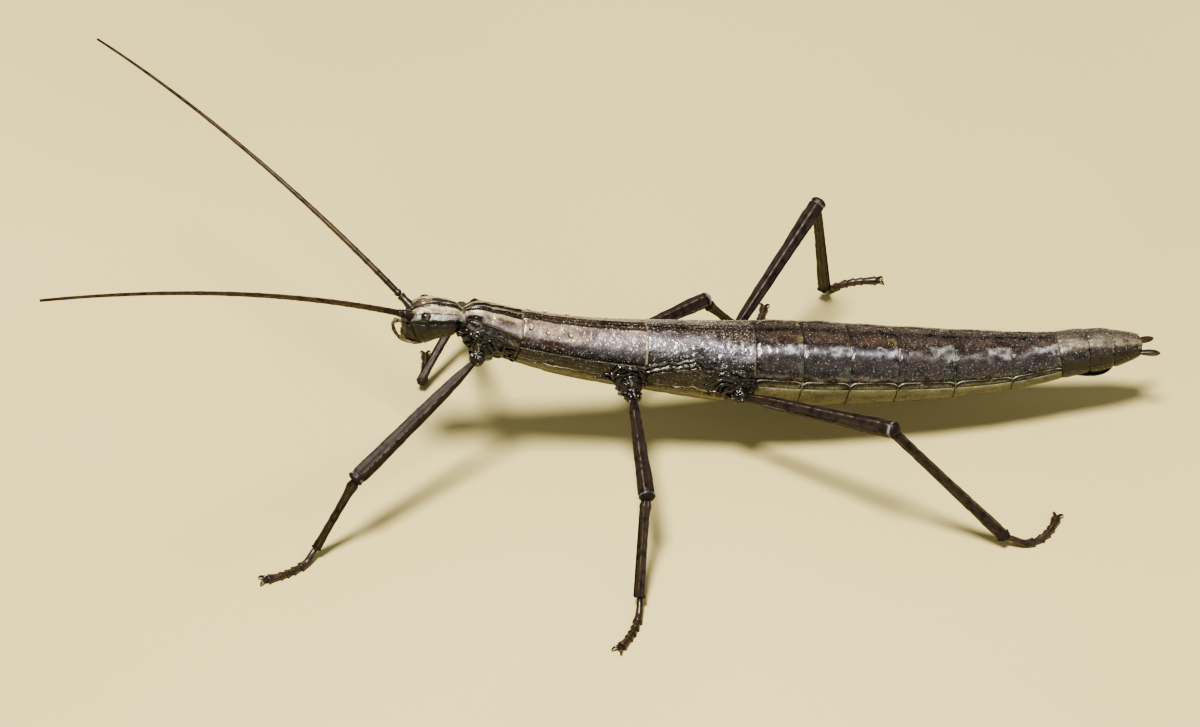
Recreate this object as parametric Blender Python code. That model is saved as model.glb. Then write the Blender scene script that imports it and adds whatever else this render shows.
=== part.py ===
"""Adult female southern two-striped walkingstick (Anisomorpha buprestoides), life size.

A still model of the whole insect, standing with her front end raised. Head toward -X,
tail toward +X, her left side toward -Y, +Z up, soles at z = 0. Every length below is in
millimetres and is turned into metres where a mesh is made.
"""
import math

import bmesh
import bpy
from mathutils import Vector

MM = 0.001
GAP = 0.04          # clearance between neighbouring pieces
LEFT, RIGHT = -1, 1

# ---- driving dimensions of the body -------------------------------------------------
# Height of the body's middle line above the floor at stations along the body.
BODY_LINE = ((0.0, 16.4), (5.4, 15.55), (10.4, 13.85), (16.0, 12.15), (21.6, 10.85),
             (30.6, 9.0), (45.0, 7.1), (55.0, 6.45), (62.0, 7.05), (67.5, 7.35))
# Station, half width, height above the middle line, depth below it.
BODY_GIRTH = ((5.4, 1.65, 1.75, 1.55), (7.5, 2.05, 2.05, 2.05), (10.4, 2.2, 2.1, 2.45),
              (14.0, 2.35, 2.25, 2.95), (18.0, 2.6, 2.5, 3.2), (21.6, 2.9, 2.75, 3.35),
              (26.0, 3.3, 3.1, 3.5), (31.2, 3.65, 3.5, 3.65), (36.0, 3.8, 3.7, 3.6),
              (42.0, 3.65, 3.5, 3.1), (49.0, 3.3, 3.2, 2.5), (54.7, 2.8, 2.85, 1.95),
              (57.0, 2.5, 2.5, 1.8), (59.4, 2.2, 2.25, 1.75), (62.0, 1.9, 2.15, 1.8),
              (64.3, 1.65, 1.8, 1.62), (66.95, 0.95, 0.98, 0.95))
HEAD_GIRTH = ((0.3, 0.75, 0.35, 1.2), (0.6, 1.2, 0.85, 1.6), (1.2, 1.55, 1.4, 1.85),
              (2.2, 1.8, 1.75, 1.8), (3.4, 1.75, 1.8, 1.25), (4.5, 1.6, 1.75, 0.9),
              (5.3, 1.35, 1.5, 0.75))
# Each plate ring of the body: name, first station, last station.
BODY_SEGMENTS = (("prothorax", 5.4, 10.4), ("mesothorax", 10.4, 21.6),
                 ("metathorax", 21.6, 31.2), ("abdomen_2", 31.2, 35.4),
                 ("abdomen_3", 35.4, 39.7), ("abdomen_4", 39.7, 44.1),
                 ("abdomen_5", 44.1, 49.4), ("abdomen_6", 49.4, 54.7),
                 ("abdomen_7", 54.7, 59.4), ("abdomen_8", 59.4, 62.0),
                 ("abdomen_9", 62.0, 64.3), ("abdomen_10", 64.3, 66.95))
BODY_SIDES = 20
RING_SPACING = 2.4      # along the long body segments
JOINT_PINCH = 0.965     # how far a ring's ends draw in at its joints

# ---- driving dimensions of the legs ---------------------------------------------------
# Pair: femur, tibia and tarsus lengths.
LEG_LENGTHS = {"front": (14.1, 7.9, 5.0), "middle": (10.3, 8.8, 5.2), "hind": (15.0, 15.1, 6.7)}
# Pair: where the femur meets the trochanter, as x, distance out and height.
HIPS = {"front": (6.2, 2.75, 13.55), "middle": (19.5, 4.1, 9.2), "hind": (29.1, 3.9, 8.2)}
# Pair: station, distance out and depth below the middle line of the coxa's root.
COXA_ROOTS = {"front": (7.6, 1.2, 1.0), "middle": (20.2, 1.8, 1.4), "hind": (29.8, 2.2, 1.2)}
# Radii of the femur at its base, at two thirds and at the knee.
FEMUR_RADII = {"front": (0.42, 0.54, 0.6), "middle": (0.44, 0.6, 0.72), "hind": (0.5, 0.62, 0.74)}
# Radii of the tibia below the knee, half way and at the ankle.
TIBIA_RADII = {"front": (0.36, 0.33, 0.38), "middle": (0.38, 0.36, 0.45), "hind": (0.42, 0.45, 0.56)}
COXA_RADII = {"front": (1.0, 0.68), "middle": (1.15, 0.72), "hind": (1.2, 0.76)}
# Leg: femur turn outward from the tail and lift, tibia turn, tarsus turn where it starts and
# where it ends, ankle height.
LEG_POSES = {("left", "front"): (146.7, -24.9, 160, 128, 172, 1.0),
             ("right", "front"): (91.8, -34.9, 229, 74, 88, 1.2),
             ("left", "middle"): (90.5, -10.7, 102, 95, 135, 1.0),
             ("right", "middle"): (36.2, -7.8, 32, 50, 74, 1.0),
             ("left", "hind"): (41.9, 13.8, 15.5, 24, -82, 1.0),
             ("right", "hind"): (45.2, 28.7, 65, 60, -25, 1.5)}
LEG_SIDES = 8
TARSUS_SIDES = 8
SOLE_HEIGHT = 0.26      # of the tarsus's middle line over the floor
TARSUS_RADIUS = 0.29
TARSUS_BEND = 0.3       # share of its length in which it comes down to the floor
TARSOMERE_ENDS = (0.42, 0.56, 0.68, 0.79)   # shares of its length where two of its joints meet
CLAW_LENGTH = 0.62
CLAW_RADIUS = 0.17
CLAW_SPREAD = 34        # degrees

# ---- driving dimensions of the head's pieces ------------------------------------------
EYE_RADIUS = 0.42
EYE_PLACE = (2.08, 1.28, 0.98)          # station, out, above the middle line
SCAPE_ROOT = (0.8, 0.71, 0.95)
SCAPE_LENGTH = 1.15
SCAPE_RADIUS = 0.36
FLAGELLUM_RADIUS = 0.25
FLAGELLUM_SHARES = (0.0, 0.34, 0.67, 1.0)
# Side: length, turn from straight ahead and lift at the root, then the change of both.
ANTENNAE = {"left": (39.5, 37, 38, 1, -14), "right": (39.5, 43, 31, 6, -28)}
PALP_RADIUS = 0.25
PALP_SIDES = 8
# Each palp's route: x, distance out and height of the points it curves through.
PALP_ROUTES = {"left": ((2.2, 0.95, 14.5), (0.95, 1.05, 14.75), (0.25, 1.1, 15.1),
                        (-0.25, 1.1, 15.95), (-0.6, 1.1, 16.85)),
               "right": ((2.2, 0.95, 14.5), (1.1, 1.05, 14.8), (0.3, 1.0, 15.15),
                         (-0.25, 0.95, 15.3), (-0.8, 1.0, 15.2))}
MOUTH_PLACE = (0.75, 0.0, 1.35)
MOUTH_RADII = (0.62, 0.95, 0.7)

# ---- driving dimensions of the tail's pieces -------------------------------------------
OPERCULUM_STATIONS = (57.6, 64.6)
OPERCULUM_RADII = (0.75, 0.5)
CERCUS_ROOT = (0.7, -0.15)              # out from and above the middle line
CERCUS_LENGTH = 1.6
CERCUS_SPREAD = 0.32        # sideways for each length backward
CERCUS_RADII = (0.25, 0.3, 0.25)

COLOURS = {"plate": (0.20, 0.15, 0.13, 1), "leg": (0.10, 0.07, 0.06, 1),
           "eye": (0.25, 0.25, 0.27, 1), "antenna": (0.16, 0.10, 0.07, 1)}
FINISHES = {"plate": (0.42, 0.1), "leg": (0.38, 0.1), "eye": (0.15, 0.0), "antenna": (0.5, 0.0)}


# ---- scene ---------------------------------------------------------------------------
for old in list(bpy.data.objects):
    bpy.data.objects.remove(old, do_unlink=True)

parts = bpy.data.collections.new("two_striped_walkingstick")
cutters = bpy.data.collections.new("cutters")
bpy.context.scene.collection.children.link(parts)
bpy.context.scene.collection.children.link(cutters)
insect = bpy.data.objects.new("insect", None)
parts.objects.link(insect)


def material(node, kind):
    """A Principled BSDF of the node's own, in the colour and finish of its kind."""
    made = bpy.data.materials.new(node)
    made.use_nodes = True
    shader = made.node_tree.nodes["Principled BSDF"]
    shader.inputs["Base Color"].default_value = COLOURS[kind]
    shader.inputs["Roughness"].default_value = FINISHES[kind][0]
    shader.inputs["Metallic"].default_value = FINISHES[kind][1]
    return made


def add_part(node, mesh, kind):
    """One named object of the insect, parented to its empty."""
    mesh.shade_smooth()
    mesh.set_sharp_from_angle(angle=math.radians(50))
    mesh.materials.append(material(node, kind))
    made = bpy.data.objects.new(node, mesh)
    made.parent = insect
    parts.objects.link(made)
    return made


def add_cutter(name, mesh):
    """An object that only shapes others."""
    made = bpy.data.objects.new(name, mesh)
    made.parent = insect
    made.hide_render = True
    made.display_type = 'WIRE'
    cutters.objects.link(made)
    return made


def combine(target, other, operation):
    """An exact Boolean left on the target."""
    boolean = target.modifiers.new(operation.lower() + "_" + other.name, 'BOOLEAN')
    boolean.object = other
    boolean.operation = operation
    boolean.solver = 'EXACT'


# ---- curves and sections ---------------------------------------------------------------
def smooth(table, at, column=1):
    """A smooth value from a table of stations, by cubic Hermite pieces."""
    last = len(table) - 1
    low = 0
    while low < last - 1 and table[low + 1][0] < at:
        low += 1

    def slope(index):
        before, after = max(index - 1, 0), min(index + 1, last)
        rise = table[after][column] - table[before][column]
        return rise / (table[after][0] - table[before][0])

    width = table[low + 1][0] - table[low][0]
    share = (at - table[low][0]) / width
    start, end = table[low][column], table[low + 1][column]
    return ((2 * share ** 3 - 3 * share ** 2 + 1) * start
            + (share ** 3 - 2 * share ** 2 + share) * width * slope(low)
            + (3 * share ** 2 - 2 * share ** 3) * end
            + (share ** 3 - share ** 2) * width * slope(low + 1))


def line_slope(station):
    """The rise of the body's middle line for each millimetre along it."""
    step = 0.5
    return (smooth(BODY_LINE, station + step) - smooth(BODY_LINE, station - step)) / (2 * step)


def body_frame(station):
    """The middle line's point at a station, with its forward and upward directions."""
    steps = 40
    reach = 0.0
    for index in range(steps):
        slope = line_slope((index + 0.5) / steps * station)
        reach += station / steps * math.sqrt(max(1 - slope ** 2, 0.0))
    slope = line_slope(station)
    along = Vector((math.sqrt(1 - slope ** 2), 0, slope))
    upward = Vector((-slope, 0, math.sqrt(1 - slope ** 2)))
    return Vector((reach, 0, smooth(BODY_LINE, station))), along, upward


def on_body(station, out, above, side=RIGHT):
    """A point given from the body's middle line."""
    centre, _, upward = body_frame(station)
    return centre + Vector((0, side * out, 0)) + upward * above


def power_curve(angle, power):
    """A point of the unit superellipse."""
    across = math.copysign(abs(math.cos(angle)) ** (2 / power), math.cos(angle))
    along = math.copysign(abs(math.sin(angle)) ** (2 / power), math.sin(angle))
    return across, along


def body_ring(table, station, scale=1.0, grow=0.0):
    """One section of the body, square to its middle line."""
    centre, _, upward = body_frame(station)
    width = smooth(table, station, 1) * scale + grow
    above = smooth(table, station, 2) * scale + grow
    below = smooth(table, station, 3) * scale + grow
    ring = []
    for index in range(BODY_SIDES):
        angle = 2 * math.pi * index / BODY_SIDES
        across, along = power_curve(angle, 2.0 if index <= BODY_SIDES // 2 else 2.25)
        height = along * (above if along > 0 else below)
        ring.append(centre + Vector((0, width * across, 0)) + upward * height)
    return ring


def loft(name, rings):
    """A closed mesh through rings of equal count; a ring of one point closes to a tip."""
    mesh = bpy.data.meshes.new(name)
    bm = bmesh.new()
    rows = [[bm.verts.new(point * MM) for point in ring] for ring in rings]
    for row, after in zip(rows[:-1], rows[1:]):
        count = max(len(row), len(after))
        for index in range(count):
            nearby = (index + 1) % count
            corners = [row[index % len(row)], row[nearby % len(row)],
                       after[nearby % len(after)], after[index % len(after)]]
            face = []
            for corner in corners:
                if corner not in face:
                    face.append(corner)
            bm.faces.new(face)
    for row in (rows[0], rows[-1]):
        if len(row) > 1:
            bm.faces.new(row)
    bmesh.ops.recalc_face_normals(bm, faces=bm.faces)
    bm.to_mesh(mesh)
    bm.free()
    return mesh


def square_axes(along):
    """Two directions square to a third, the second one as upright as it can be."""
    side = along.cross(Vector((0, 0, 1)))
    if side.length < 0.05:
        side = Vector((0, 1, 0))
    side.normalize()
    return side, side.cross(along).normalized()


def limb_ring(centre, along, across_radius, upright_radius, sides, power=2.0):
    """One section of a limb, square to its direction."""
    side, upright = square_axes(along)
    ring = []
    for index in range(sides):
        across, rise = power_curve(2 * math.pi * (index + 0.5) / sides, power)
        ring.append(centre + side * across_radius * across + upright * upright_radius * rise)
    return ring


def along_line(points, share):
    """A point of a finely drawn line and its direction there."""
    place = share * (len(points) - 1)
    low = min(int(place), len(points) - 2)
    direction = (points[low + 1] - points[low]).normalized()
    return points[low].lerp(points[low + 1], place - low), direction


# ---- body ------------------------------------------------------------------------------
def build_body_segment(node, first, last):
    """A ring of the body, drawn in a little at its two joints."""
    start, end = first + GAP / 2, last - GAP / 2
    inner = max(2, round((end - start) / RING_SPACING))
    shoulder = min(0.5, (end - start) / 5)
    stations = [start, start + shoulder]
    stations += [start + shoulder + (end - start - 2 * shoulder) * step / inner
                 for step in range(1, inner)]
    stations += [end - shoulder, end]
    rings = []
    for station in stations:
        at_end = station in (start, end)
        rings.append(body_ring(BODY_GIRTH, station, JOINT_PINCH if at_end else 1.0))
    add_part(node, loft(node, rings), "plate")


def build_head():
    """The head capsule, rounded at the face and open to the neck joint behind."""
    stations = [row[0] for row in HEAD_GIRTH]
    add_part("head", loft("head", [body_ring(HEAD_GIRTH, station) for station in stations]),
             "plate")
    grown = [body_ring(HEAD_GIRTH, station, 1.0, GAP) for station in stations]
    return add_cutter("head_clearance", loft("head_clearance", grown))


def build_eye(side_name, side, head_cutter):
    """A bulging eye, let into the side of the head."""
    mesh = bpy.data.meshes.new("eye_" + side_name)
    bm = bmesh.new()
    bmesh.ops.create_uvsphere(bm, u_segments=12, v_segments=8, radius=EYE_RADIUS * MM)
    centre = on_body(*EYE_PLACE, side)
    bmesh.ops.translate(bm, verts=bm.verts, vec=centre * MM)
    bm.to_mesh(mesh)
    bm.free()
    eye = add_part("eye_" + side_name, mesh, "eye")
    combine(eye, head_cutter, 'DIFFERENCE')


def mouth_mesh(name, grow):
    """A rounded block for the labrum and mandibles, grown by a clearance."""
    mesh = bpy.data.meshes.new(name)
    bm = bmesh.new()
    bmesh.ops.create_uvsphere(bm, u_segments=10, v_segments=6, radius=1.0)
    size = Vector([radius + grow for radius in MOUTH_RADII])
    bmesh.ops.scale(bm, verts=bm.verts, vec=size * MM)
    centre = on_body(MOUTH_PLACE[0], MOUTH_PLACE[1], -MOUTH_PLACE[2])
    bmesh.ops.translate(bm, verts=bm.verts, vec=centre * MM)
    bm.to_mesh(mesh)
    bm.free()
    return mesh


def build_mouthparts(head_cutter):
    """Labrum and mandibles in one rounded block under the face."""
    mouth = add_part("mouthparts", mouth_mesh("mouthparts", 0.0), "leg")
    combine(mouth, head_cutter, 'DIFFERENCE')
    return add_cutter("mouth_clearance", mouth_mesh("mouth_clearance", GAP))


def feeler_curve(node, route, radius, kind):
    """A thin round feeler along a route, as a closed tube."""
    curve = bpy.data.curves.new(node, 'CURVE')
    curve.dimensions = '3D'
    curve.bevel_depth = radius * MM
    curve.bevel_resolution = 2
    curve.use_fill_caps = True
    spline = curve.splines.new('POLY')
    spline.points.add(len(route) - 1)
    for point, place in zip(spline.points, route):
        point.co = (*(place * MM), 1.0)
    curve.materials.append(material(node, kind))
    made = bpy.data.objects.new(node, curve)
    made.parent = insect
    parts.objects.link(made)


def antenna_route(side_name, side):
    """Points along the whole antenna, which lifts and turns a little as it goes."""
    length, turn, lift, turn_change, lift_change = ANTENNAE[side_name]
    steps = 60
    route = [on_body(SCAPE_ROOT[0], SCAPE_ROOT[1], SCAPE_ROOT[2], side)]
    for step in range(steps):
        share = (step + 0.5) / steps
        yaw = math.radians(turn + turn_change * share)
        rise = math.radians(lift + lift_change * share)
        step_along = Vector((-math.cos(rise) * math.cos(yaw),
                             side * math.cos(rise) * math.sin(yaw), math.sin(rise)))
        route.append(route[-1] + step_along * length / steps)
    return route


def build_antenna(side_name, side, head_cutter):
    """A thick scape and a long flagellum in three lengths."""
    route = antenna_route(side_name, side)
    length = ANTENNAE[side_name][0]
    along = (route[2] - route[0]).normalized()
    root = route[0]
    scape_end = SCAPE_LENGTH / length
    rings = []
    for reach, share in ((-0.5, 0.85), (0.25, 0.95), (0.6, 1.0), (0.95, 0.85), (1.1, 0.74)):
        radius = SCAPE_RADIUS * share
        rings.append(limb_ring(root + along * reach, along, radius, radius, TARSUS_SIDES))
    node = "antenna_scape_" + side_name
    scape = add_part(node, loft(node, rings), "antenna")
    combine(scape, head_cutter, 'DIFFERENCE')
    for index, (start, end) in enumerate(zip(FLAGELLUM_SHARES[:-1], FLAGELLUM_SHARES[1:])):
        first = max(start, scape_end) + GAP / length
        last = end - (0 if end == 1.0 else GAP / length)
        feeler_curve("antenna_" + side_name + "_" + str(index + 1),
                     [along_line(route, first + (last - first) * step / 7)[0]
                      for step in range(8)], FLAGELLUM_RADIUS, "antenna")


def build_palp(side_name, side, head_cutter, mouth_cutter):
    """A maxillary palp: from under the mouth it runs forward and curls up and back."""
    points = [Vector((x, side * out, height)) for x, out, height in PALP_ROUTES[side_name]]
    table = [[index] + list(point) for index, point in enumerate(points)]
    count = 9
    last = len(points) - 1
    route = [Vector([smooth(table, last * index / (count - 1), column) for column in (1, 2, 3)])
             for index in range(count)]
    rings = []
    for index, centre in enumerate(route):
        along = (route[min(index + 1, count - 1)] - route[max(index - 1, 0)]).normalized()
        across = Vector((0, 1, 0))
        lift = across.cross(along).normalized()
        ring = []
        for corner in range(PALP_SIDES):
            angle = 2 * math.pi * corner / PALP_SIDES
            ring.append(centre + (across * math.cos(angle) + lift * math.sin(angle)) * PALP_RADIUS)
        rings.append(ring)
    node = "palp_" + side_name
    palp = add_part(node, loft(node, rings), "antenna")
    combine(palp, head_cutter, 'DIFFERENCE')
    combine(palp, mouth_cutter, 'DIFFERENCE')


# ---- legs ------------------------------------------------------------------------------
def heading(turn, lift, side):
    """A unit direction: turned outward from the tail's direction, then lifted."""
    yaw, rise = math.radians(turn), math.radians(lift)
    return Vector((math.cos(rise) * math.cos(yaw), side * math.cos(rise) * math.sin(yaw),
                   math.sin(rise)))


def reach_down(start, length, turn, end_height, side):
    """Where a straight piece ends when its turn and the height of its end are given."""
    drop = start.z - end_height
    out = math.sqrt(length ** 2 - drop ** 2)
    yaw = math.radians(turn)
    return start + Vector((out * math.cos(yaw), side * out * math.sin(yaw), -drop))


def leg_joints(side_name, side, pair):
    """Hip, knee and ankle of one leg."""
    femur, tibia, _ = LEG_LENGTHS[pair]
    femur_turn, femur_lift, tibia_turn, _, _, ankle_height = LEG_POSES[side_name, pair]
    x, out, height = HIPS[pair]
    hip = Vector((x, side * out, height))
    knee = hip + heading(femur_turn, femur_lift, side) * femur
    ankle = reach_down(knee, tibia, tibia_turn, ankle_height, side)
    return hip, knee, ankle


def ball_end(centre, along, radius, sides, power):
    """The rings that round off a limb of this radius at its far end."""
    rings = []
    for degrees in (25, 50, 70):
        angle = math.radians(degrees)
        small = radius * math.cos(angle)
        rings.append(limb_ring(centre + along * radius * math.sin(angle), along, small, small,
                               sides, power))
    rings.append([centre + along * radius])
    return rings


def socket_start(centre, along, ball_radius, radius, sides, power):
    """The rings of a hollow end that fits round a ball, from its middle out to its rim."""
    hollow = ball_radius + GAP
    rings = [[centre + along * hollow]]
    for share in (0.55, 1.0):
        small = radius * share
        rings.append(limb_ring(centre + along * math.sqrt(hollow ** 2 - small ** 2), along,
                               small, small, sides, power))
    return rings


def build_coxa(node, pair, side, hip, thorax_cutter):
    """Coxa and trochanter: a stout knobbly cone from the thorax, ending in a ball."""
    station, out, depth = COXA_ROOTS[pair]
    root = on_body(station, out, -depth, side)
    broad, ball = COXA_RADII[pair]
    along = (hip - root).normalized()
    reach = (hip - root).length
    rings = []
    for share, radius in ((0.0, broad), (0.45, broad), (0.62, broad * 0.9), (0.74, ball * 0.86),
                          (0.84, ball)):
        rings.append(limb_ring(root + along * reach * share, along, radius, radius, LEG_SIDES))
    rings.append(limb_ring(hip, along, ball, ball, LEG_SIDES))
    rings += ball_end(hip, along, ball, LEG_SIDES, 2.0)
    coxa = add_part(node, loft(node, rings), "leg")
    combine(coxa, thorax_cutter, 'DIFFERENCE')


def build_femur(node, pair, hip, knee):
    """The thigh: thin at the hip, thicker to the knee, where it ends in a ball."""
    base, middle, end = FEMUR_RADII[pair]
    along = (knee - hip).normalized()
    length = (knee - hip).length
    ball = COXA_RADII[pair][1]
    table = ((0.0, base), (0.35, (base + middle) / 2), (0.7, middle), (0.9, end * 0.96),
             (1.0, end))
    rings = socket_start(hip, along, ball, base, LEG_SIDES, 1.8)
    for share in (0.2, 0.36, 0.52, 0.68, 0.84, 0.93):
        radius = smooth(table, share)
        rings.append(limb_ring(hip + along * length * share, along, radius, radius, LEG_SIDES, 1.8))
    rings.append(limb_ring(knee, along, end, end, LEG_SIDES, 2.0))
    rings += ball_end(knee, along, end, LEG_SIDES, 2.0)
    add_part(node, loft(node, rings), "leg")


def build_tibia(node, pair, knee, ankle):
    """The shin, hollow at the knee and blunt at the ankle."""
    top, middle, bottom = TIBIA_RADII[pair]
    along = (ankle - knee).normalized()
    length = (ankle - knee).length
    table = ((0.0, top), (0.2, top), (0.5, middle), (0.85, bottom * 0.92), (1.0, bottom))
    rings = socket_start(knee, along, FEMUR_RADII[pair][2], top, TARSUS_SIDES, 1.9)
    for share in (0.16, 0.32, 0.5, 0.68, 0.84, 0.95):
        radius = smooth(table, share)
        rings.append(limb_ring(knee + along * length * share, along, radius, radius,
                               TARSUS_SIDES, 1.9))
    rings.append(limb_ring(ankle, along, bottom * 0.75, bottom * 0.75, TARSUS_SIDES, 1.9))
    add_part(node, loft(node, rings), "leg")


def claw_mesh(name, root, along, turn):
    """One hooked claw that spreads to the side and bends down at its tip."""
    rings = []
    yaw = math.radians(turn)
    out = Vector((along.x * math.cos(yaw) - along.y * math.sin(yaw),
                  along.x * math.sin(yaw) + along.y * math.cos(yaw), 0)).normalized()
    for share, rise, thick in ((-0.3, 0.0, 0.9), (0.35, 0.1, 1.0), (0.75, 0.06, 0.8)):
        centre = root + out * CLAW_LENGTH * share + Vector((0, 0, rise))
        radius = CLAW_RADIUS * thick
        rings.append(limb_ring(centre, out, radius, radius, 6))
    rings.append([root + out * CLAW_LENGTH * 1.15 - Vector((0, 0, 0.1))])
    return loft(name, rings)


def tarsus_line(side_name, side, pair, ankle, steps=40):
    """Points along a tarsus: it comes down to the floor and curves as it goes outward."""
    length = LEG_LENGTHS[pair][2]
    first_turn, last_turn, ankle_height = LEG_POSES[side_name, pair][3:]
    points = [ankle.copy()]
    for step in range(steps):
        yaw = math.radians(first_turn + (last_turn - first_turn) * (step + 0.5) / steps)
        lean = min(1.0, (step + 1) / steps / TARSUS_BEND)
        place = points[-1] + Vector((math.cos(yaw), side * math.sin(yaw), 0)) * length / steps
        place.z = SOLE_HEIGHT + (ankle_height - SOLE_HEIGHT) * (1 + math.cos(math.pi * lean)) / 2
        points.append(place)
    return points


def build_tarsus(node, pair, line, tibia_along):
    """Five small joints in one foot, flat-soled on the floor, with two claws."""
    bottom = TIBIA_RADII[pair][2]
    first = max(TARSUS_RADIUS, bottom * 0.62)
    rings = [limb_ring(line[0] + tibia_along * GAP, tibia_along, first, first, TARSUS_SIDES)]
    profile = [(0.1, 1.0), (0.2, 0.95), (TARSUS_BEND, 1.0)]
    for joint in TARSOMERE_ENDS:
        profile += [(joint - 0.03, 1.12), (joint + 0.02, 0.88)]
    profile += [(0.9, 0.95), (1.0, 1.1)]
    for share, thick in profile:
        centre, direction = along_line(line, share)
        radius = TARSUS_RADIUS * thick
        rings.append(limb_ring(centre, direction, radius, radius, TARSUS_SIDES))
    foot = add_part(node, loft(node, rings), "leg")
    root, direction = along_line(line, 0.97)
    for name, turn in (("_claw_a", -CLAW_SPREAD), ("_claw_b", CLAW_SPREAD)):
        claw = add_cutter(node + name, claw_mesh(node + name, root, direction, turn))
        combine(foot, claw, 'UNION')
    combine(foot, floor_cutter, 'DIFFERENCE')


def build_leg(side_name, side, pair, thorax_cutter):
    """The four nodes of one leg."""
    hip, knee, ankle = leg_joints(side_name, side, pair)
    start = "leg_" + pair + "_" + side_name + "_"
    build_coxa(start + "coxa", pair, side, hip, thorax_cutter)
    build_femur(start + "femur", pair, hip, knee)
    build_tibia(start + "tibia", pair, knee, ankle)
    build_tarsus(start + "tarsus", pair, tarsus_line(side_name, side, pair, ankle),
                 (ankle - knee).normalized())


# ---- tail ------------------------------------------------------------------------------
def build_operculum(abdomen_cutter):
    """The pointed plate under the last rings of the abdomen."""
    first, last = OPERCULUM_STATIONS
    rings = []
    for share, wide, deep in ((0.0, 0.8, 0.5), (0.25, 1.0, 0.8), (0.6, 0.85, 1.0), (0.85, 0.5, 0.8)):
        station = first + (last - first) * share
        centre, along, _ = body_frame(station)
        depth = smooth(BODY_GIRTH, station, 3)
        rings.append(limb_ring(on_body(station, 0, -depth - 0.05), along,
                               OPERCULUM_RADII[0] * wide * 1.4, OPERCULUM_RADII[1] * deep,
                               LEG_SIDES))
    rings.append([on_body(last, 0, -smooth(BODY_GIRTH, last, 3) - 0.15)])
    plate = add_part("operculum", loft("operculum", rings), "plate")
    combine(plate, abdomen_cutter, 'DIFFERENCE')


def build_cercus(side_name, side):
    """A short leaf-like cercus behind the last ring."""
    out, above = CERCUS_ROOT
    tail = BODY_SEGMENTS[-1][2]
    _, along, _ = body_frame(tail)
    root = on_body(tail, out, above, side) + along * GAP
    heading_out = (along + Vector((0, side * CERCUS_SPREAD, -0.1))).normalized()
    rings = []
    for share, radius in zip((0.0, 0.45, 1.0), CERCUS_RADII):
        rings.append(limb_ring(root + heading_out * CERCUS_LENGTH * share,
                               along if share == 0.0 else heading_out,
                               radius, radius * 0.9, TARSUS_SIDES))
    node = "cercus_" + side_name
    add_part(node, loft(node, rings), "leg")


# ---- assembly --------------------------------------------------------------------------
def grown_body(name, first, last):
    """The body's outer shape with a clearance, to shape what sits against it."""
    count = 24
    rings = [body_ring(BODY_GIRTH, first + (last - first) * index / count, 1.0, GAP)
             for index in range(count + 1)]
    return add_cutter(name, loft(name, rings))


floor_mesh = bpy.data.meshes.new("floor_cutter")
floor_box = bmesh.new()
bmesh.ops.create_cube(floor_box, size=1.0)
bmesh.ops.scale(floor_box, verts=floor_box.verts, vec=(0.2, 0.2, 0.01))
bmesh.ops.translate(floor_box, verts=floor_box.verts, vec=(0.0, 0.0, -0.005))
floor_box.to_mesh(floor_mesh)
floor_box.free()
floor_cutter = add_cutter("floor_cutter", floor_mesh)

thorax_clearance = grown_body("thorax_clearance", 5.4, 38.0)
abdomen_clearance = grown_body("abdomen_clearance", 54.7, 67.3)
head_clearance = build_head()
mouth_clearance = build_mouthparts(head_clearance)
for segment in BODY_SEGMENTS:
    build_body_segment(*segment)
build_operculum(abdomen_clearance)
for name_of_side, sign in (("left", LEFT), ("right", RIGHT)):
    build_eye(name_of_side, sign, head_clearance)
    build_antenna(name_of_side, sign, head_clearance)
    build_palp(name_of_side, sign, head_clearance, mouth_clearance)
    build_cercus(name_of_side, sign)
    for leg_pair in ("front", "middle", "hind"):
        build_leg(name_of_side, sign, leg_pair, thorax_clearance)

# The origin goes under the middle of the model's box, on the floor.
bpy.context.view_layer.update()
corners_x, corners_y = [], []
for made_object in parts.objects:
    if made_object.type != 'EMPTY':
        for corner in made_object.bound_box:
            place = made_object.matrix_world @ Vector(corner)
            corners_x.append(place.x)
            corners_y.append(place.y)
insect.location = (-(min(corners_x) + max(corners_x)) / 2,
                   -(min(corners_y) + max(corners_y)) / 2, 0.0)
bpy.context.view_layer.update()
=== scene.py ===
import math

import bmesh
import bpy
import numpy as np
from mathutils import Matrix, Vector


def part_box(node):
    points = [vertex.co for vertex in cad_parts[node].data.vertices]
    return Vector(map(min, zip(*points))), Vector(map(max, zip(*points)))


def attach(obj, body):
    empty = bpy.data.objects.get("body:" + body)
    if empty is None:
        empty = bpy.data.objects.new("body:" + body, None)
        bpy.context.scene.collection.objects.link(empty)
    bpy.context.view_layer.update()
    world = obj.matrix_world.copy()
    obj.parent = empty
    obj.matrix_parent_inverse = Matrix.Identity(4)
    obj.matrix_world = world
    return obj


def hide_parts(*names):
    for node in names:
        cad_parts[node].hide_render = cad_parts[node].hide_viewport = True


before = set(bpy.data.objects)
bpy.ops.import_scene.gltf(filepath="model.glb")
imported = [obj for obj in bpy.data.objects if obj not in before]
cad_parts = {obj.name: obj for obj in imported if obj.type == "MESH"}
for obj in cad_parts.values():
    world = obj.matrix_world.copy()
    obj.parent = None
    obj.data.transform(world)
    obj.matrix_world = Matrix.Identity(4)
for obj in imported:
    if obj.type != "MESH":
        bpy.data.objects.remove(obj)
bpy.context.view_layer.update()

MM = 0.001


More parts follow.
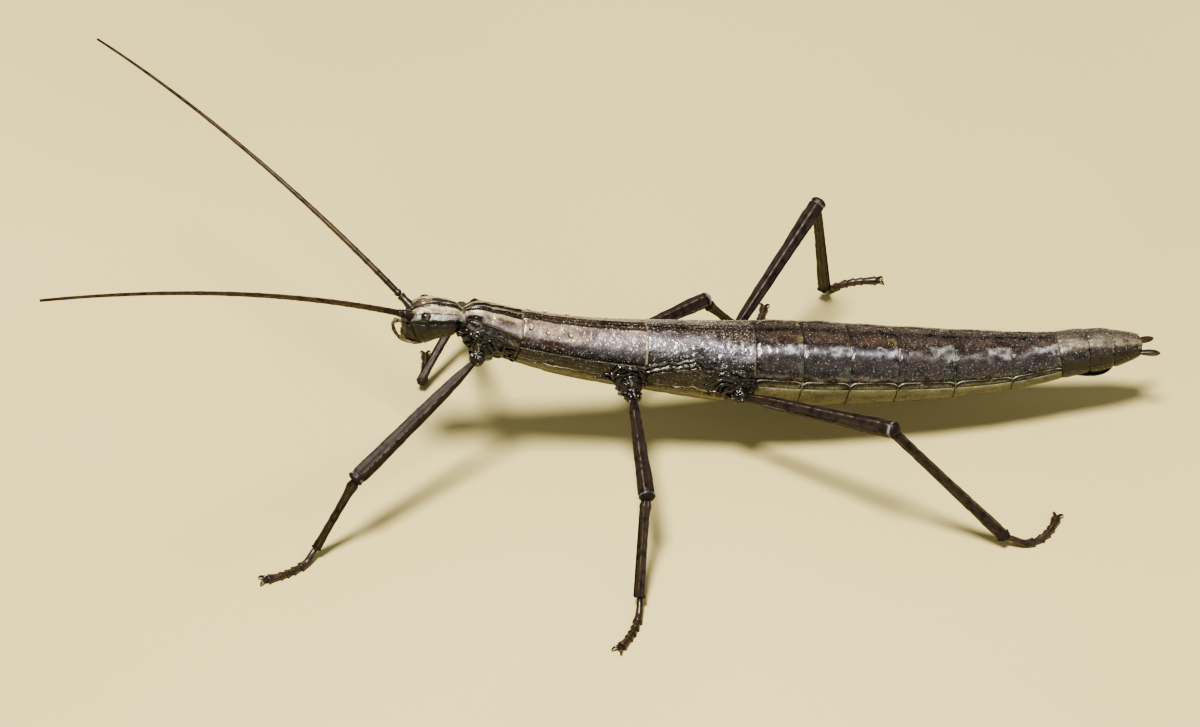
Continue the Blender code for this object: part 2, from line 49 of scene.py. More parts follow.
# ---- soft skin ----
# The thin flexible cuticle under the plates, one unbroken tube from the neck to the tail.
# It shows as pale folds at every joint and along both sides of the abdomen.
BODY_NODES = ["head", "prothorax", "mesothorax", "metathorax"]
BODY_NODES += ["abdomen_" + str(number) for number in range(2, 11)]
GRID_STEP = 0.09        # millimetres between the lines of a fine surface
SKIN_STARTS, SKIN_SHORT = 3.0, 0.3  # where the skin starts, and how far it ends off the tail
FOLD_GAP = 0.35         # millimetres from one fine fold of the skin to the next
BELLY_POWER = 2 / 2.25  # below its middle the body is a little squarer than an oval
WHITE = (1, 1, 1)


def box_of(node):
    """The low and high corners of a solid's box, in millimetres."""
    return [np.array(corner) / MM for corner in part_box(node)]


MIDDLE_Y = sum(box_of("head"))[1] / 2


def places_in(mesh, kind=float):
    """The places of a mesh's corners, one to a row."""
    places = np.empty(len(mesh.vertices) * 3, kind)
    mesh.vertices.foreach_get("co", places)
    return places.reshape(-1, 3)


def solid_corners(node):
    """The different corners of a frame solid, in millimetres."""
    places = places_in(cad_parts[node].data, np.float32)
    return np.unique(np.round(places / MM, 4), axis=0)


def unit(ways):
    """Directions of length one."""
    return ways / np.linalg.norm(ways, axis=-1, keepdims=True)


def rings_of(node):
    """Middle x and z, half width, rise and depth of each ring of corners in a body solid."""
    corners = solid_corners(node)
    middle = corners[np.abs(corners[:, 1] - MIDDLE_Y) < 0.01]
    slope, level = np.polyfit(middle[:, 0], middle[:, 2], 1)
    above = middle[:, 2] > slope * middle[:, 0] + level
    rings = []
    for top, bottom in zip(middle[above], middle[~above]):
        square = unit(np.cross(top - bottom, (0, 1, 0)))
        ring = corners[np.abs((corners - top) @ square) < 0.01]
        x, y, z = ring[ring[:, 1].argmax()]
        tall = [np.linalg.norm(end - (x, MIDDLE_Y, z)) for end in (top, bottom)]
        rings.append((x, z, y - MIDDLE_Y, *tall))
    return np.array(rings)


def lengths_along(points):
    """How far along a line each of its points lies."""
    steps = np.linalg.norm(np.diff(points, axis=0), axis=1)
    return np.concatenate([[0.0], np.cumsum(steps)])


def hermite(at, places, values):
    """Smooth values between those given at some places."""
    slopes = np.gradient(values, places, axis=0)
    low = np.clip(np.searchsorted(places, at) - 1, 0, len(places) - 2)
    width = (places[low + 1] - places[low])[:, None]
    share = (at - places[low])[:, None] / width
    return ((2 * share ** 3 - 3 * share ** 2 + 1) * values[low]
            + (share ** 3 - 2 * share ** 2 + share) * width * slopes[low]
            + (3 * share ** 2 - 2 * share ** 3) * values[low + 1]
            + (share ** 3 - share ** 2) * width * slopes[low + 1])


all_rings = {node: rings_of(node) for node in BODY_NODES}
kept_rings = [all_rings["head"]] + [all_rings[node][1:-1] for node in BODY_NODES[1:]]
kept_rings = np.vstack(kept_rings + [all_rings["abdomen_10"][-1:]])
ring_stations = lengths_along(kept_rings[:, :2])
BODY_LENGTH = ring_stations[-1]
fine_stations = np.arange(0.0, BODY_LENGTH, 0.1)
BODY_TABLE = hermite(fine_stations, ring_stations, kept_rings)


def station_of(x):
    """The station of the middle line at a place along the floor."""
    return float(np.interp(x, BODY_TABLE[:, 0], fine_stations))


def span_of(node, early=0.0, short=0.0):
    """The stations where one ring of the body starts and ends, or those of a plate that
    starts early and ends short of them."""
    return station_of(all_rings[node][0, 0]) - early, station_of(all_rings[node][-1, 0]) - short


def body_section(station):
    """Middle points, upward directions and the half width, rise and depth there."""
    columns = [np.interp(station, fine_stations, column) for column in BODY_TABLE.T]
    beyond = np.maximum(station - fine_stations[-1], 0) + np.minimum(station, 0)
    rise = np.interp(station, fine_stations, np.gradient(BODY_TABLE[:, 1], fine_stations))
    forward = np.sqrt(1 - rise ** 2)
    middle = np.stack([columns[0] + beyond * forward, np.full_like(rise, MIDDLE_Y),
                       columns[1] + beyond * rise], 1)
    return middle, np.stack([-rise, 0 * rise, forward], 1), *columns[2:]


def on_body(station, angle, lift=0.0, scale=1.0):
    """Places on the body's outer form. The angle is in degrees round from the middle of the
    back, positive to her left; lift is in millimetres off the surface."""
    station, angle = np.broadcast_arrays(np.asarray(station, float), np.asarray(angle, float))
    middle, upward, width, rise, depth = body_section(station)
    turn = np.radians(angle)
    low = np.cos(turn) < 0
    power = np.where(low, BELLY_POWER, 1.0)
    across, height = (np.sign(part) * np.abs(part) ** power for part in (np.sin(turn), np.cos(turn)))
    tall = np.where(low, depth, rise)
    out = unit(np.stack([across / width, height / tall], 1))
    sideways = across * width * scale + out[:, 0] * lift
    upwards = height * tall * scale + out[:, 1] * lift
    return middle + upward * upwards[:, None] - np.outer(sideways, (0, 1, 0))


def shaped(mesh, work, smooth=True):
    """A mesh with some bmesh work done on it."""
    bm = bmesh.new()
    bm.from_mesh(mesh)
    work(bm)
    bm.to_mesh(mesh)
    bm.free()
    if smooth:
        mesh.shade_smooth()
    return mesh


def close_seams(bm):
    bmesh.ops.remove_doubles(bm, verts=bm.verts, dist=1e-7)
    bmesh.ops.holes_fill(bm, edges=bm.edges, sides=0)
    bmesh.ops.recalc_face_normals(bm, faces=bm.faces)


def wrapped(name, along, around, place, closed=False):
    """A fine grid bent into shape. place turns shares along and around into points in
    millimetres and the two pattern values that the map named lie keeps."""
    def lay_grid(bm):
        bm.loops.layers.uv.new("lie")
        bmesh.ops.create_grid(bm, x_segments=along, y_segments=around, size=0.5)

    mesh = shaped(bpy.data.meshes.new(name), lay_grid)
    shares = places_in(mesh) + 0.5
    points, first, second = place(shares[:, 0], shares[:, 1])
    mesh.vertices.foreach_set("co", (points * MM).ravel())
    corners = np.empty(len(mesh.loops), int)
    mesh.loops.foreach_get("vertex_index", corners)
    pattern = np.stack(np.broadcast_arrays(first, second), 1)[corners]
    mesh.uv_layers["lie"].data.foreach_set("uv", pattern.ravel())
    return shaped(mesh, close_seams, smooth=False) if closed else mesh


def add_piece(mesh, finish, nodes=(), thick=0.0):
    """One piece of the insect, given its finish, its body and the solids it stands for."""
    piece = bpy.data.objects.new(mesh.name, mesh)
    bpy.context.scene.collection.objects.link(piece)
    mesh.materials.append(finish)
    if thick:
        shell = piece.modifiers.new("thickness", 'SOLIDIFY')
        shell.thickness = thick * MM
        shell.offset = -1.0
    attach(piece, "root")
    if nodes:
        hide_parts(*nodes)


def rises(at, *each):
    """The sum of smooth rounded rises, each given by its height, its centre and its spread."""
    return sum(height * np.exp(-((at - centre) / spread) ** 2) for height, centre, spread in each)


def grain(first, second, size, seed):
    """Smooth random relief between -1 and 1, from a seeded lattice of values."""
    lattice = np.random.default_rng(seed).uniform(-1, 1, (97, 97))
    column, row = np.asarray(first) / size, np.asarray(second) / size
    left, low = np.floor(column).astype(int), np.floor(row).astype(int)
    share, climb = (part ** 2 * (3 - 2 * part) for part in (column - left, row - low))
    here, above = (lattice[left % 97, level % 97] * (1 - share)
                   + lattice[(left + 1) % 97, level % 97] * share for level in (low, low + 1))
    return here * (1 - climb) + above * climb


def shade(red, green, blue):
    """A colour given as it looks on a screen, from 0 to 255, as the light it holds."""
    shares = [value / 255 for value in (red, green, blue)]
    return tuple(s / 12.92 if s <= 0.04045 else ((s + 0.055) / 1.055) ** 2.4 for s in shares)


def add_node(tree, kind, joined=None, **settings):
    """The outputs of one new node, with its settings, and inputs set to values or joined."""
    made = tree.nodes.new("ShaderNode" + kind)
    for name, value in settings.items():
        setattr(made, name, value)
    for name, value in (joined or {}).items():
        socket = made.inputs[name]
        if isinstance(value, bpy.types.NodeSocket):
            tree.links.new(value, socket)
        else:
            socket.default_value = (*value, 1) if socket.type == 'RGBA' else value
    return made.outputs


def maths(operation, first, second=0.5):
    """One sum on a value that another node gives."""
    return add_node(first.id_data, "Math", {0: first, 1: second}, operation=operation)[0]


def times(first, second):
    return maths('MULTIPLY', first, second)


def spread(value, *limits, kind='LINEAR'):
    """A value spread from between the first two limits to between the other two."""
    return add_node(value.id_data, "MapRange", dict(enumerate((value, *limits))),
                    interpolation_type=kind)[0]


def window(value, low, high, soft):
    """One between two limits and nothing outside them, with soft edges."""
    return times(spread(value, low - soft, low + soft, kind='SMOOTHSTEP'),
                 spread(value, high - soft, high + soft, 1.0, 0.0, kind='SMOOTHSTEP'))


def ramp(factor, stops):
    """Colours that follow one another along a value."""
    colour = add_node(factor.id_data, "ValToRGB", {0: factor})[0]
    band = colour.node.color_ramp.elements
    for element, (place, tint) in ((band[0], stops[0]), (band[1], stops[-1])):
        element.position, element.color = place, (*tint, 1)
    for place, tint in stops[1:-1]:
        band.new(place).color = (*tint, 1)
    return colour


def bands(side, stripes):
    """Stripes along the body, given as colours at degrees from the middle of the back."""
    return ramp(side, [(degrees / 180, shade(*tint)) for degrees, tint in stripes])


def mix(share, first, second, blend='MIX'):
    """Two colours mixed by a share."""
    return add_node(first.id_data, "Mix", {0: share, 6: first, 7: second}, data_type='RGBA',
                    blend_type=blend)[2]


def noise_of(tree, scale, detail=3.0, stretch=None):
    """Soft noise between 0 and 1, with its grain in lumps per metre."""
    source = add_node(tree, "TexCoord")["Object"]
    if stretch:
        source = add_node(tree, "Mapping", {0: source, "Scale": stretch})[0]
    return add_node(tree, "TexNoise", {"Vector": source, "Scale": scale, "Detail": detail})[0]


def start_finish(name, roughness, metallic=0.0, coat=0.0):
    """A material with its nodes and its shader's inputs, ready for its pattern."""
    made = bpy.data.materials.new(name)
    made.use_nodes = True
    shader = made.node_tree.nodes["Principled BSDF"].inputs
    for socket, value in (("Roughness", roughness), ("Metallic", metallic),
                          ("Coat Weight", coat), ("Coat Roughness", 0.2)):
        shader[socket].default_value = value
    return made, made.node_tree, shader


def lie_of(tree):
    """The two pattern values of a surface, its share along and how far round it is."""
    return add_node(tree, "SeparateXYZ", {0: add_node(tree, "UVMap", uv_map="lie")[0]})[0:2]


def join_finish(shader, colour, height=None, strength=0.0, depth=0.0):
    """Colour the shader, and give it a fine relief whose depth is in millimetres."""
    tree = colour.id_data
    tree.links.new(colour, shader["Base Color"])
    if height:
        relief = add_node(tree, "Bump", {"Strength": strength, "Distance": depth * MM,
                                         "Height": height})
        tree.links.new(relief[0], shader["Normal"])


# Brown on the back, cream beside it, then grey-green, cream along the folds, olive below.
SKIN_STRIPES = (
    (4, (78, 68, 56)), (24, (84, 72, 58)), (31, (146, 140, 118)), (46, (132, 126, 108)),
    (58, (62, 59, 51)), (80, (60, 57, 50)), (86, (166, 160, 132)), (104, (112, 106, 80)),
    (180, (92, 86, 64)))
skin_finish, tree, shader = start_finish("soft cuticle", 0.5)
along, around = lie_of(tree)
blotch = noise_of(tree, 1100, 4.0)
side = maths('ADD', maths('ABSOLUTE', around), times(blotch, 0.05))
mottle = ramp(blotch, ((0.36, shade(120, 112, 104)), (0.56, WHITE)))
colour = mix(0.8, bands(side, SKIN_STRIPES), mottle, 'MULTIPLY')
neck = times(window(along, -0.1, 0.055, 0.01), window(side, 0.36, 0.72, 0.02))
colour = mix(neck, colour, shade(34, 30, 28))
wrinkle = noise_of(tree, 2600, 4.0, (3.0, 1.0, 1.0))
dark = ramp(wrinkle, ((0.35, shade(90, 80, 62)), (0.55, WHITE)))
join_finish(shader, mix(0.5, colour, dark, 'MULTIPLY'), wrinkle, 0.6, 0.05)


def skin_place(along, around):
    station = SKIN_STARTS + along * (BODY_LENGTH - (SKIN_STARTS + SKIN_SHORT))
    angle = 180 - 360 * around
    fold = 0.02 * np.sin(station * 2 * math.pi / FOLD_GAP) - 0.15
    fold = fold - 0.45 * np.clip((4.9 - station) / 0.5, 0, 1)
    return on_body(station, angle, fold), along, angle / 180


add_piece(wrapped("soft_skin", 460, 90, skin_place, closed=True), skin_finish,
          BODY_NODES[1:])


# ---- pronotum ----
# The short plate behind the neck: hard cuticle with black stripes, a cross groove and a
# black knob at each front corner, where the defence glands open.
TUCK = 0.09             # how far a plate's front edge sinks under the plate before it
PLATE_THICKNESS = 0.07
INK, CREAM, SILVER = (24, 19, 17), (206, 194, 160), (140, 130, 130)


def plate_finish(name, stripes, roughness=0.36, metallic=0.25, wander=2.5, flecks=0.35,
                 hind=None, patches=(), cloud=0.35, grit=0.8, bare=200):
    """Hard cuticle with stripes along the body. Patches are windows of share along, degrees
    and a colour; hind is where the rear edge's colour starts. Past bare the flecks stop."""
    made, tree, shader = start_finish(name, roughness, metallic, 0.2)
    along, around = lie_of(tree)
    drift = times(maths('SUBTRACT', noise_of(tree, 1100, 4.0), 0.5), wander / 45)
    side = maths('ADD', maths('ABSOLUTE', around), drift)
    colour = bands(side, stripes)
    edge = noise_of(tree, 1500, 4.0)
    broken = spread(edge, 0.38, 0.52)
    for first, last, low, high, tint in patches:
        place = window(maths('ADD', along, times(drift, 3.0)), first, last, 0.05)
        turn = window(side, low / 180, high / 180, 0.018)
        colour = mix(times(times(place, turn), broken), colour, shade(*tint))
    blotch = ramp(noise_of(tree, 1300, 5.0, (0.55, 1.0, 1.0)),
                  ((0.32, shade(110, 102, 100)), (0.5, (0.8, 0.8, 0.8)), (0.7, WHITE)))
    colour = mix(cloud, colour, blotch, 'MULTIPLY')
    net = noise_of(tree, 6200, 2.0)
    pale = times(spread(net, 0.6, 0.72, 0.0, flecks), window(side, -1.0, bare / 180, 0.03))
    colour = mix(pale, colour, shade(206, 196, 182))
    deep = spread(net, 0.4, 0.3, 0.0, min(1.0, flecks * 1.6))
    colour = mix(deep, colour, shade(52, 42, 40))
    if hind:
        rim = window(maths('ADD', along, times(drift, 0.6)), hind[0], 1.2, 0.008)
        colour = mix(times(rim, 0.85), colour, shade(*hind[1]))
    gloss = spread(edge, 0.3, 0.7, roughness - 0.12, roughness + 0.14)
    tree.links.new(gloss, shader["Roughness"])
    join_finish(shader, colour, net, grit, 0.05)
    return made


def add_plate(name, span, angles, relief, finish, nodes=(), sink=TUCK, bend=None):
    """A plate of hard cuticle laid over the body between two stations and two angles. bend
    turns its own angles and shares along into the angles where it really lies."""
    start, end = span
    _, _, width, rise, depth = body_section(np.array([(start + end) / 2]))
    arc = math.radians(abs(angles[0] - angles[1])) * (width[0] + max(rise[0], depth[0])) / 2

    def place(along, around):
        station = start + along * (end - start)
        angle = angles[0] + (angles[1] - angles[0]) * around
        rim = np.minimum(around, 1 - around) * arc
        lift = (relief(station - start, angle, along) - rises(station - start, (sink, 0, 0.2))
                - rises(end - station, (0.05, 0, 0.07)) - rises(rim, (0.05, 0, 0.08)))
        lies = np.sign(angle) * bend(np.abs(angle), along) if bend else angle
        return on_body(station, lies, lift), along, angle / 180

    mesh = wrapped(name, max(8, round((end - start) / GRID_STEP)),
                   max(6, round(arc / GRID_STEP)), place)
    add_piece(mesh, finish, nodes, PLATE_THICKNESS)


def pronotum_bend(side, along):
    """The plate is narrow at the neck and widens backward."""
    return side * (0.64 + 0.28 * along)


def pronotum_relief(front, angle, along):
    side = np.abs(angle)
    knob = rises(side, (0.27, 57, 9)) * rises(front, (1, 0.72, 0.4))
    groove = rises(front, (-0.05, 2.0, 0.22)) * (side < 60)
    ridges = rises(side, (0.06, 3, 2), (-0.06, 11, 6), (0.05, 21, 3), (0.09, 67, 2),
                   (-0.08, 71, 1.6), (-0.05, 63, 2))
    return knob + groove + ridges + 0.03 * grain(front, angle / 20, 0.5, 3)


PRONOTUM_STRIPES = (
    (0, (140, 128, 98)), (2.4, (158, 146, 114)), (3.6, INK), (10, (36, 29, 25)), (11.0, (110, 98, 74)),
    (12.0, INK), (19, (30, 24, 20)), (21, (96, 80, 62)), (23.5, (184, 172, 140)), (36, (166, 152, 126)),
    (44, (138, 126, 116)), (58, SILVER), (64, (100, 88, 80)), (66, INK), (68, (126, 114, 98)), (70, INK))
pronotum_finish = plate_finish("pronotum cuticle", PRONOTUM_STRIPES, 0.28, 0.25,
                               hind=(0.95, (120, 112, 92)), flecks=0.4, wander=2.4,
                               cloud=0.7, grit=0.9,
                               patches=((-0.2, 0.24, 24, 44, CREAM), (0.0, 0.26, 46, 66, INK),
                                        (0.3, 0.85, 34, 44, (98, 78, 64)),
                                        (0.6, 1.1, 50, 64, (160, 152, 148))))
add_plate("pronotum", span_of("prothorax", 0.1, 0.06), (74, -74), pronotum_relief,
          pronotum_finish, ["prothorax"], bend=pronotum_bend)


# ---- mesonotum and metanotum ----
# The long back plates of the thorax: silvery, with a brown middle strip between two fine
# dark lines and a black beaded ridge low on each side, all one moulded sheet of cuticle.
META_EDGE = ((0, 0.19, 0.3, 0.45, 0.52, 0.7, 0.89, 1), (22, 10, 5, -2, 5, 8, 15, 18))


def mesonotum_bend(side, along):
    return side + (15 - 4 * along) * np.clip((side - 25) / 38, 0, 1.1)


def metanotum_bend(side, along):
    return side + np.interp(along, *META_EDGE) * np.clip((side - 22) / 38, 0, 1.1)


def mesonotum_relief(front, angle, along):
    side = np.abs(angle)
    lumps = np.clip(grain(front + 3, np.sign(angle) * 2, 0.3, 23) * 1.6, -0.6, 1)
    ridge = rises(side, (0.12, 61.5, 2.6)) * (1 + 0.8 * lumps)
    lower = rises(side, (0.08, 69.5, 1.6)) * (1 + 0.4 * grain(front + 8, 0.5, 0.35, 29))
    lines = rises(side, (-0.1, 66, 2.0), (0.05, 0, 1.6), (0.07, 11, 2.2), (-0.05, 5, 2.0))
    hollow = rises(side, (-0.06, 53, 6)) * np.clip(1.4 - along * 2.4, 0, 1)
    dents = rises(side, (0.05, 45, 14)) * np.minimum(0, grain(front, angle / 9, 0.5, 37))
    return ridge + lower + lines + hollow + dents + 0.03 * grain(front, angle / 15, 0.3, 5)


def metanotum_relief(front, angle, along):
    side = np.abs(angle)
    ripple = 1.6 * np.sin(front * 2.3 + 0.6) + 1.1 * np.sin(front * 5.1)
    lines = rises(side, (0.09, 58 + ripple, 1.8), (0.09, 66 + 0.5 * ripple, 2.0),
                  (-0.13, 62 + 0.8 * ripple, 1.8), (0.05, 0, 1.6), (0.05, 8, 2.0))
    dents = rises(side, (0.06, 42, 16)) * np.minimum(0, grain(front, angle / 8, 0.45, 39))
    return lines + dents + 0.04 * grain(front, angle / 12, 0.26, 7)


BACK_STRIPES = (
    (0, INK), (1.2, (70, 56, 46)), (3.5, (98, 84, 66)), (4.6, INK), (5.6, (94, 78, 62)),
    (9, (78, 60, 48)), (10.4, INK), (12.2, (96, 84, 76)), (14.5, (172, 156, 146)), (26, (164, 151, 146)),
    (36, (148, 140, 140)), (46, (120, 114, 116)), (54, (68, 62, 60)), (58.5, INK), (65, INK),
    (67, (48, 43, 40)), (69, (112, 106, 98)), (70.5, INK))
META_STRIPES = (
    (0, INK), (1.2, (80, 66, 54)), (6, (96, 80, 66)), (8, (52, 41, 34)), (10, (92, 83, 80)),
    (15, (132, 124, 128)), (30, (146, 142, 150)), (42, (116, 112, 118)), (50, (68, 65, 67)),
    (55, (34, 30, 29)), (58, (96, 94, 90)), (60, INK), (65, (66, 62, 58)), (68, INK))
mesonotum_finish = plate_finish(
    "mesonotum cuticle", BACK_STRIPES, 0.26, 0.45, hind=(0.98, (150, 142, 122)),
    flecks=0.5, cloud=0.75, grit=1.0, wander=1.5,
    patches=((-0.1, 0.5, 14, 44, (178, 158, 142)), (-0.1, 0.38, 46, 58, (72, 54, 43)),
             (0.45, 0.95, 50, 58, (76, 71, 72))))
metanotum_finish = plate_finish(
    "metanotum cuticle", META_STRIPES, 0.26, 0.45, wander=4.0, flecks=0.8, cloud=0.9,
    hind=(0.985, (100, 92, 76)), grit=1.0,
    patches=((0.62, 1.1, -1, 26, (80, 68, 62)), (0.5, 1.1, 44, 60, (52, 49, 50))))
for plate, node, relief, finish, bend in (
        ("mesonotum", "mesothorax", mesonotum_relief, mesonotum_finish, mesonotum_bend),
        ("metanotum", "metathorax", metanotum_relief, metanotum_finish, metanotum_bend)):
    add_plate(plate, span_of(node, 0.3, 0.05), (72, -72), relief, finish, [node], bend=bend)


# ---- sides and breast of the thorax ----
# Below the back plates each ring has a dark side plate, creased in rings round the leg's
# root and with a wavy pale seam low on it, and an olive breast plate.
SIDES = (("left", 1), ("right", -1))
LEG_ROOTS = {"pro": (2.1, 100), "meso": (9.9, 106), "meta": (8.2, 104)}
TOP_EDGE = {"pro": lambda along: pronotum_bend(74, along) - 4,
            "meso": lambda along: mesonotum_bend(72, along) - 2,
            "meta": lambda along: metanotum_bend(72, along) - 2}
LOW_EDGE = 119.0


def side_plate(ring):
    """The bend and relief of one side plate. Its own angles run from 74 at the top edge to
    118 at the low edge."""
    root, turn = LEG_ROOTS[ring]

    def bend(side, along):
        top = TOP_EDGE[ring](along)
        return top + (side - 74) / 44 * (LOW_EDGE - top)

    def relief(front, angle, along):
        side = bend(np.abs(angle), along)
        apart = np.hypot(front - root, np.radians(side - turn) * 2.9)
        apart = apart + 0.12 * grain(front + 2, side / 16, 0.5, 47)
        near = np.clip((2.0 - apart) / 0.5, 0, 1)
        creases = 0.11 * np.sin(apart * 2 * math.pi / 0.46) + rises(apart, (0.12, 0.7, 0.5))
        sway = 2.0 * np.sin(front * 1.3) + 1.2 * np.sin(front * 3.7)
        seams = rises(side, (0.09, 112 + sway, 1.8), (-0.08, 107.5 + sway, 2.4),
                      (0.05, 91, 2), (-0.06, 95 + 0.4 * sway, 2))
        return near * creases + (1 - near) * seams + 0.04 * grain(front, angle / 14, 0.35, 11)

    return bend, relief


def breast_relief(front, angle, along):
    keel = rises(np.abs(np.abs(angle) - 180), (0.05, 0, 5))
    return keel + 0.03 * grain(front, angle / 14, 0.5, 13) - 0.02


SIDE_STRIPES = (
    (74, INK), (77, (72, 66, 60)), (79, INK), (83, (40, 37, 35)), (91, (50, 44, 40)), (97, (45, 40, 37)),
    (102.5, (36, 32, 30)), (104.2, (186, 178, 154)), (106, (44, 38, 33)), (110, (84, 78, 58)),
    (118, (112, 106, 80)))
LEG_CREASES = (30, 27, 26)
side_finishes = {
    "pro": plate_finish("prothorax side cuticle", ((74, INK), (90, (44, 38, 36)),
                                                   (104, (38, 32, 30)), (118, (58, 52, 42))),
                        0.28, 0.1, wander=8.0, cloud=0.5,
                        patches=((0.05, 0.95, 86, 89, (120, 114, 104)),
                                 (0.6, 1.1, 112, 116, (78, 73, 60))))}
for ring, creases in (("meso", ((0.68, 1.2, 70, 125, LEG_CREASES),)),
                      ("meta", ((-0.2, 0.1, 70, 112, LEG_CREASES),
                                (0.58, 1.2, 70, 116, LEG_CREASES)))):
    side_finishes[ring] = plate_finish(ring + "thorax side cuticle", SIDE_STRIPES, 0.34, 0.1,
                                       wander=3.0, flecks=0.3, cloud=0.5, patches=creases)
BREAST_STRIPES = (
    (110, (128, 122, 92)), (122, (108, 102, 74)), (135, (84, 78, 58)), (160, (96, 90, 68)),
    (180, (74, 69, 53)))
breast_finish = plate_finish("breast cuticle", BREAST_STRIPES, 0.42, 0.0, wander=3.0, flecks=0.3)
for ring in ("pro", "meso", "meta"):
    span = span_of(ring + "thorax", 0.0, 0.03)
    bend, relief = side_plate(ring)
    for side_name, sign in SIDES:
        add_plate(ring + "pleuron_" + side_name, span, (118, 74) if sign > 0 else (-74, -118),
                  relief, side_finishes[ring], bend=bend)
    add_plate(ring + "sternum", span, (242, 118), breast_relief, breast_finish)


# ---- abdomen ----
# Nine rings. Each has a hard back plate, a narrow black and white fold along each side
# where the breathing holes open, and an olive belly plate; soft skin joins them.
FOLD_ANGLE = 79.0       # degrees round from the back where the side folds lie
BELLY_ANGLE = 89.0
FIRST_TAIL_RING = 8


def back_relief(front, angle, along):
    lines = rises(np.abs(angle), (0.05, 74, 3), (0.04, 0, 1.5), (0.04, 25, 3))
    swell = 0.045 * np.sin(np.pi * along ** 1.5)
    return swell + lines + 0.03 * grain(front + 9, angle / 13, 0.38, 17)


def belly_relief(front, angle, along):
    return (0.03 * np.sin(np.pi * along) + 0.02 * grain(front, angle / 14, 0.6, 19)
            + rises(np.abs(angle), (-0.04, 128, 2.5), (-0.04, 232, 2.5)))


# The silvery band from 29 to 39 degrees is partly the cuticle's own silver and partly a painted highlight
# along each ring.
RING_STRIPES = (
    (0, INK), (1.6, (62, 52, 46)), (8, (78, 66, 58)), (20, (68, 57, 51)), (25, (58, 50, 48)),
    (29, (98, 93, 98)), (34, (142, 141, 148)), (39, (86, 81, 85)), (44, (60, 52, 53)), (60, (54, 46, 45)),
    (67, (64, 55, 50)), (70, (98, 88, 77)), (73, (60, 52, 47)), (75.5, INK))
# Painted light among these patches: the pale grey one at 26 to 39 degrees near each ring's rear is a
# painted highlight, and the dark one at 24 to 46 degrees at each ring's front is painted shade that dims
# the silvery band there.
RING_PATCHES = (
    (-0.2, 0.04, 0, 74, (44, 37, 34)), (0.84, 0.99, 10, 23, (116, 110, 74)),
    (0.25, 0.85, 6, 22, (90, 72, 61)), (0.55, 1.0, 26, 39, (184, 188, 192)),
    (-0.2, 0.1, 24, 46, (78, 72, 74)), (0.88, 1.2, 52, 76, (76, 78, 69)),
    (-0.2, 0.05, 62, 76, (74, 74, 66)))
REAR_STRIPES = (
    (0, INK), (1.6, (62, 52, 46)), (8, (76, 63, 55)), (20, (68, 56, 50)), (26, (70, 60, 56)),
    (31, (98, 88, 87)), (35, (116, 108, 109)), (40, (82, 74, 75)), (46, (60, 51, 50)), (60, (54, 45, 43)),
    (70, (72, 62, 54)), (75.5, INK))
# The first two patches, pale grey near the rear of each ring, are painted highlights.
REAR_PATCHES = (
    (0.55, 1.1, 24, 36, (160, 160, 158)), (0.82, 1.1, 20, 46, (140, 142, 140)),
    (-0.2, 0.04, 0, 76, (52, 46, 44)), (0.2, 0.8, 8, 22, (84, 72, 66)), (0.84, 1.2, 54, 76, (70, 74, 66)),
    (-0.2, 0.07, 58, 76, (70, 72, 64)))
LAST_STRIPES = (
    (0, (66, 59, 52)), (2, (88, 80, 69)), (18, (100, 92, 79)), (28, (126, 117, 99)),
    (40, (132, 123, 104)), (46, (92, 83, 72)), (50, (54, 46, 40)), (80, (48, 41, 35)), (96, (38, 32, 29)))
LAST_PATCHES = (
    (0.9, 1.2, 24, 50, (146, 140, 118)), (-0.2, 0.06, 30, 60, INK), (0.9, 1.2, 56, 66, (104, 97, 80)))
BELLY_STRIPES = (
    (86, (140, 136, 110)), (90, (112, 108, 82)), (100, (94, 91, 66)), (128, (80, 77, 56)),
    (150, (90, 86, 65)), (180, (74, 71, 54)))
# Painted shade: the belly plates of the last three rings are a dark brown that stands for the deep shade
# under the tail.
TAIL_BELLY_SHADE_STRIPES = ((96, (44, 36, 32)), (130, (62, 52, 40)), (180, (50, 42, 34)))
FOLD_STRIPES = (
    (70, INK), (74.2, INK), (75.2, (166, 162, 146)), (76.4, (120, 112, 94)), (77.5, INK), (82.4, INK),
    (84, (84, 76, 58)), (87, (160, 154, 126)))
ring_finish = plate_finish("abdomen back cuticle", RING_STRIPES, 0.24, 0.35, 4.0, 0.3,
                           (0.985, (112, 106, 84)), RING_PATCHES, 0.7, 0.7)
rear_ring_finish = plate_finish("rear abdomen back cuticle", REAR_STRIPES, 0.26, 0.3, 7.0, 0.35,
                                (0.985, (104, 98, 80)), REAR_PATCHES, 0.8, 0.8)
last_finish = plate_finish("tail ring cuticle", LAST_STRIPES, 0.36, 0.15, 6.0, 0.4,
                           patches=LAST_PATCHES, cloud=0.8, bare=50)
belly_finish = plate_finish("belly cuticle", BELLY_STRIPES, 0.45, 0.0, 3.0, 0.25, cloud=0.6)
shaded_tail_belly_finish = plate_finish("tail belly cuticle with painted shade", TAIL_BELLY_SHADE_STRIPES, 0.4, 0.05, 6.0, 0.3)
fold_finish = plate_finish("side fold cuticle", FOLD_STRIPES, 0.32, 0.0, 1.6, 0.3, cloud=0.5)


def add_side_fold(name, span, sign):
    """The narrow fold along one side of a ring, turned down at its two ends."""
    start, end = span

    def place(along, around):
        station = start + along * (end - start)
        across = around if sign > 0 else 1 - around
        angle = FOLD_ANGLE + 4.5 - 9.0 * across + 6.0 * np.abs(2 * along - 1) ** 8
        lift = (rises(across, (0.1, 0.72, 0.16), (0.06, 0.2, 0.14)) - 0.06
                - rises(end - station, (0.1, 0, 0.1)))
        return on_body(station, sign * angle, lift), along, (85.0 - 12 * across) / 180

    add_piece(wrapped(name, round((end - start) / 0.06), 14, place), fold_finish,
              thick=0.06)


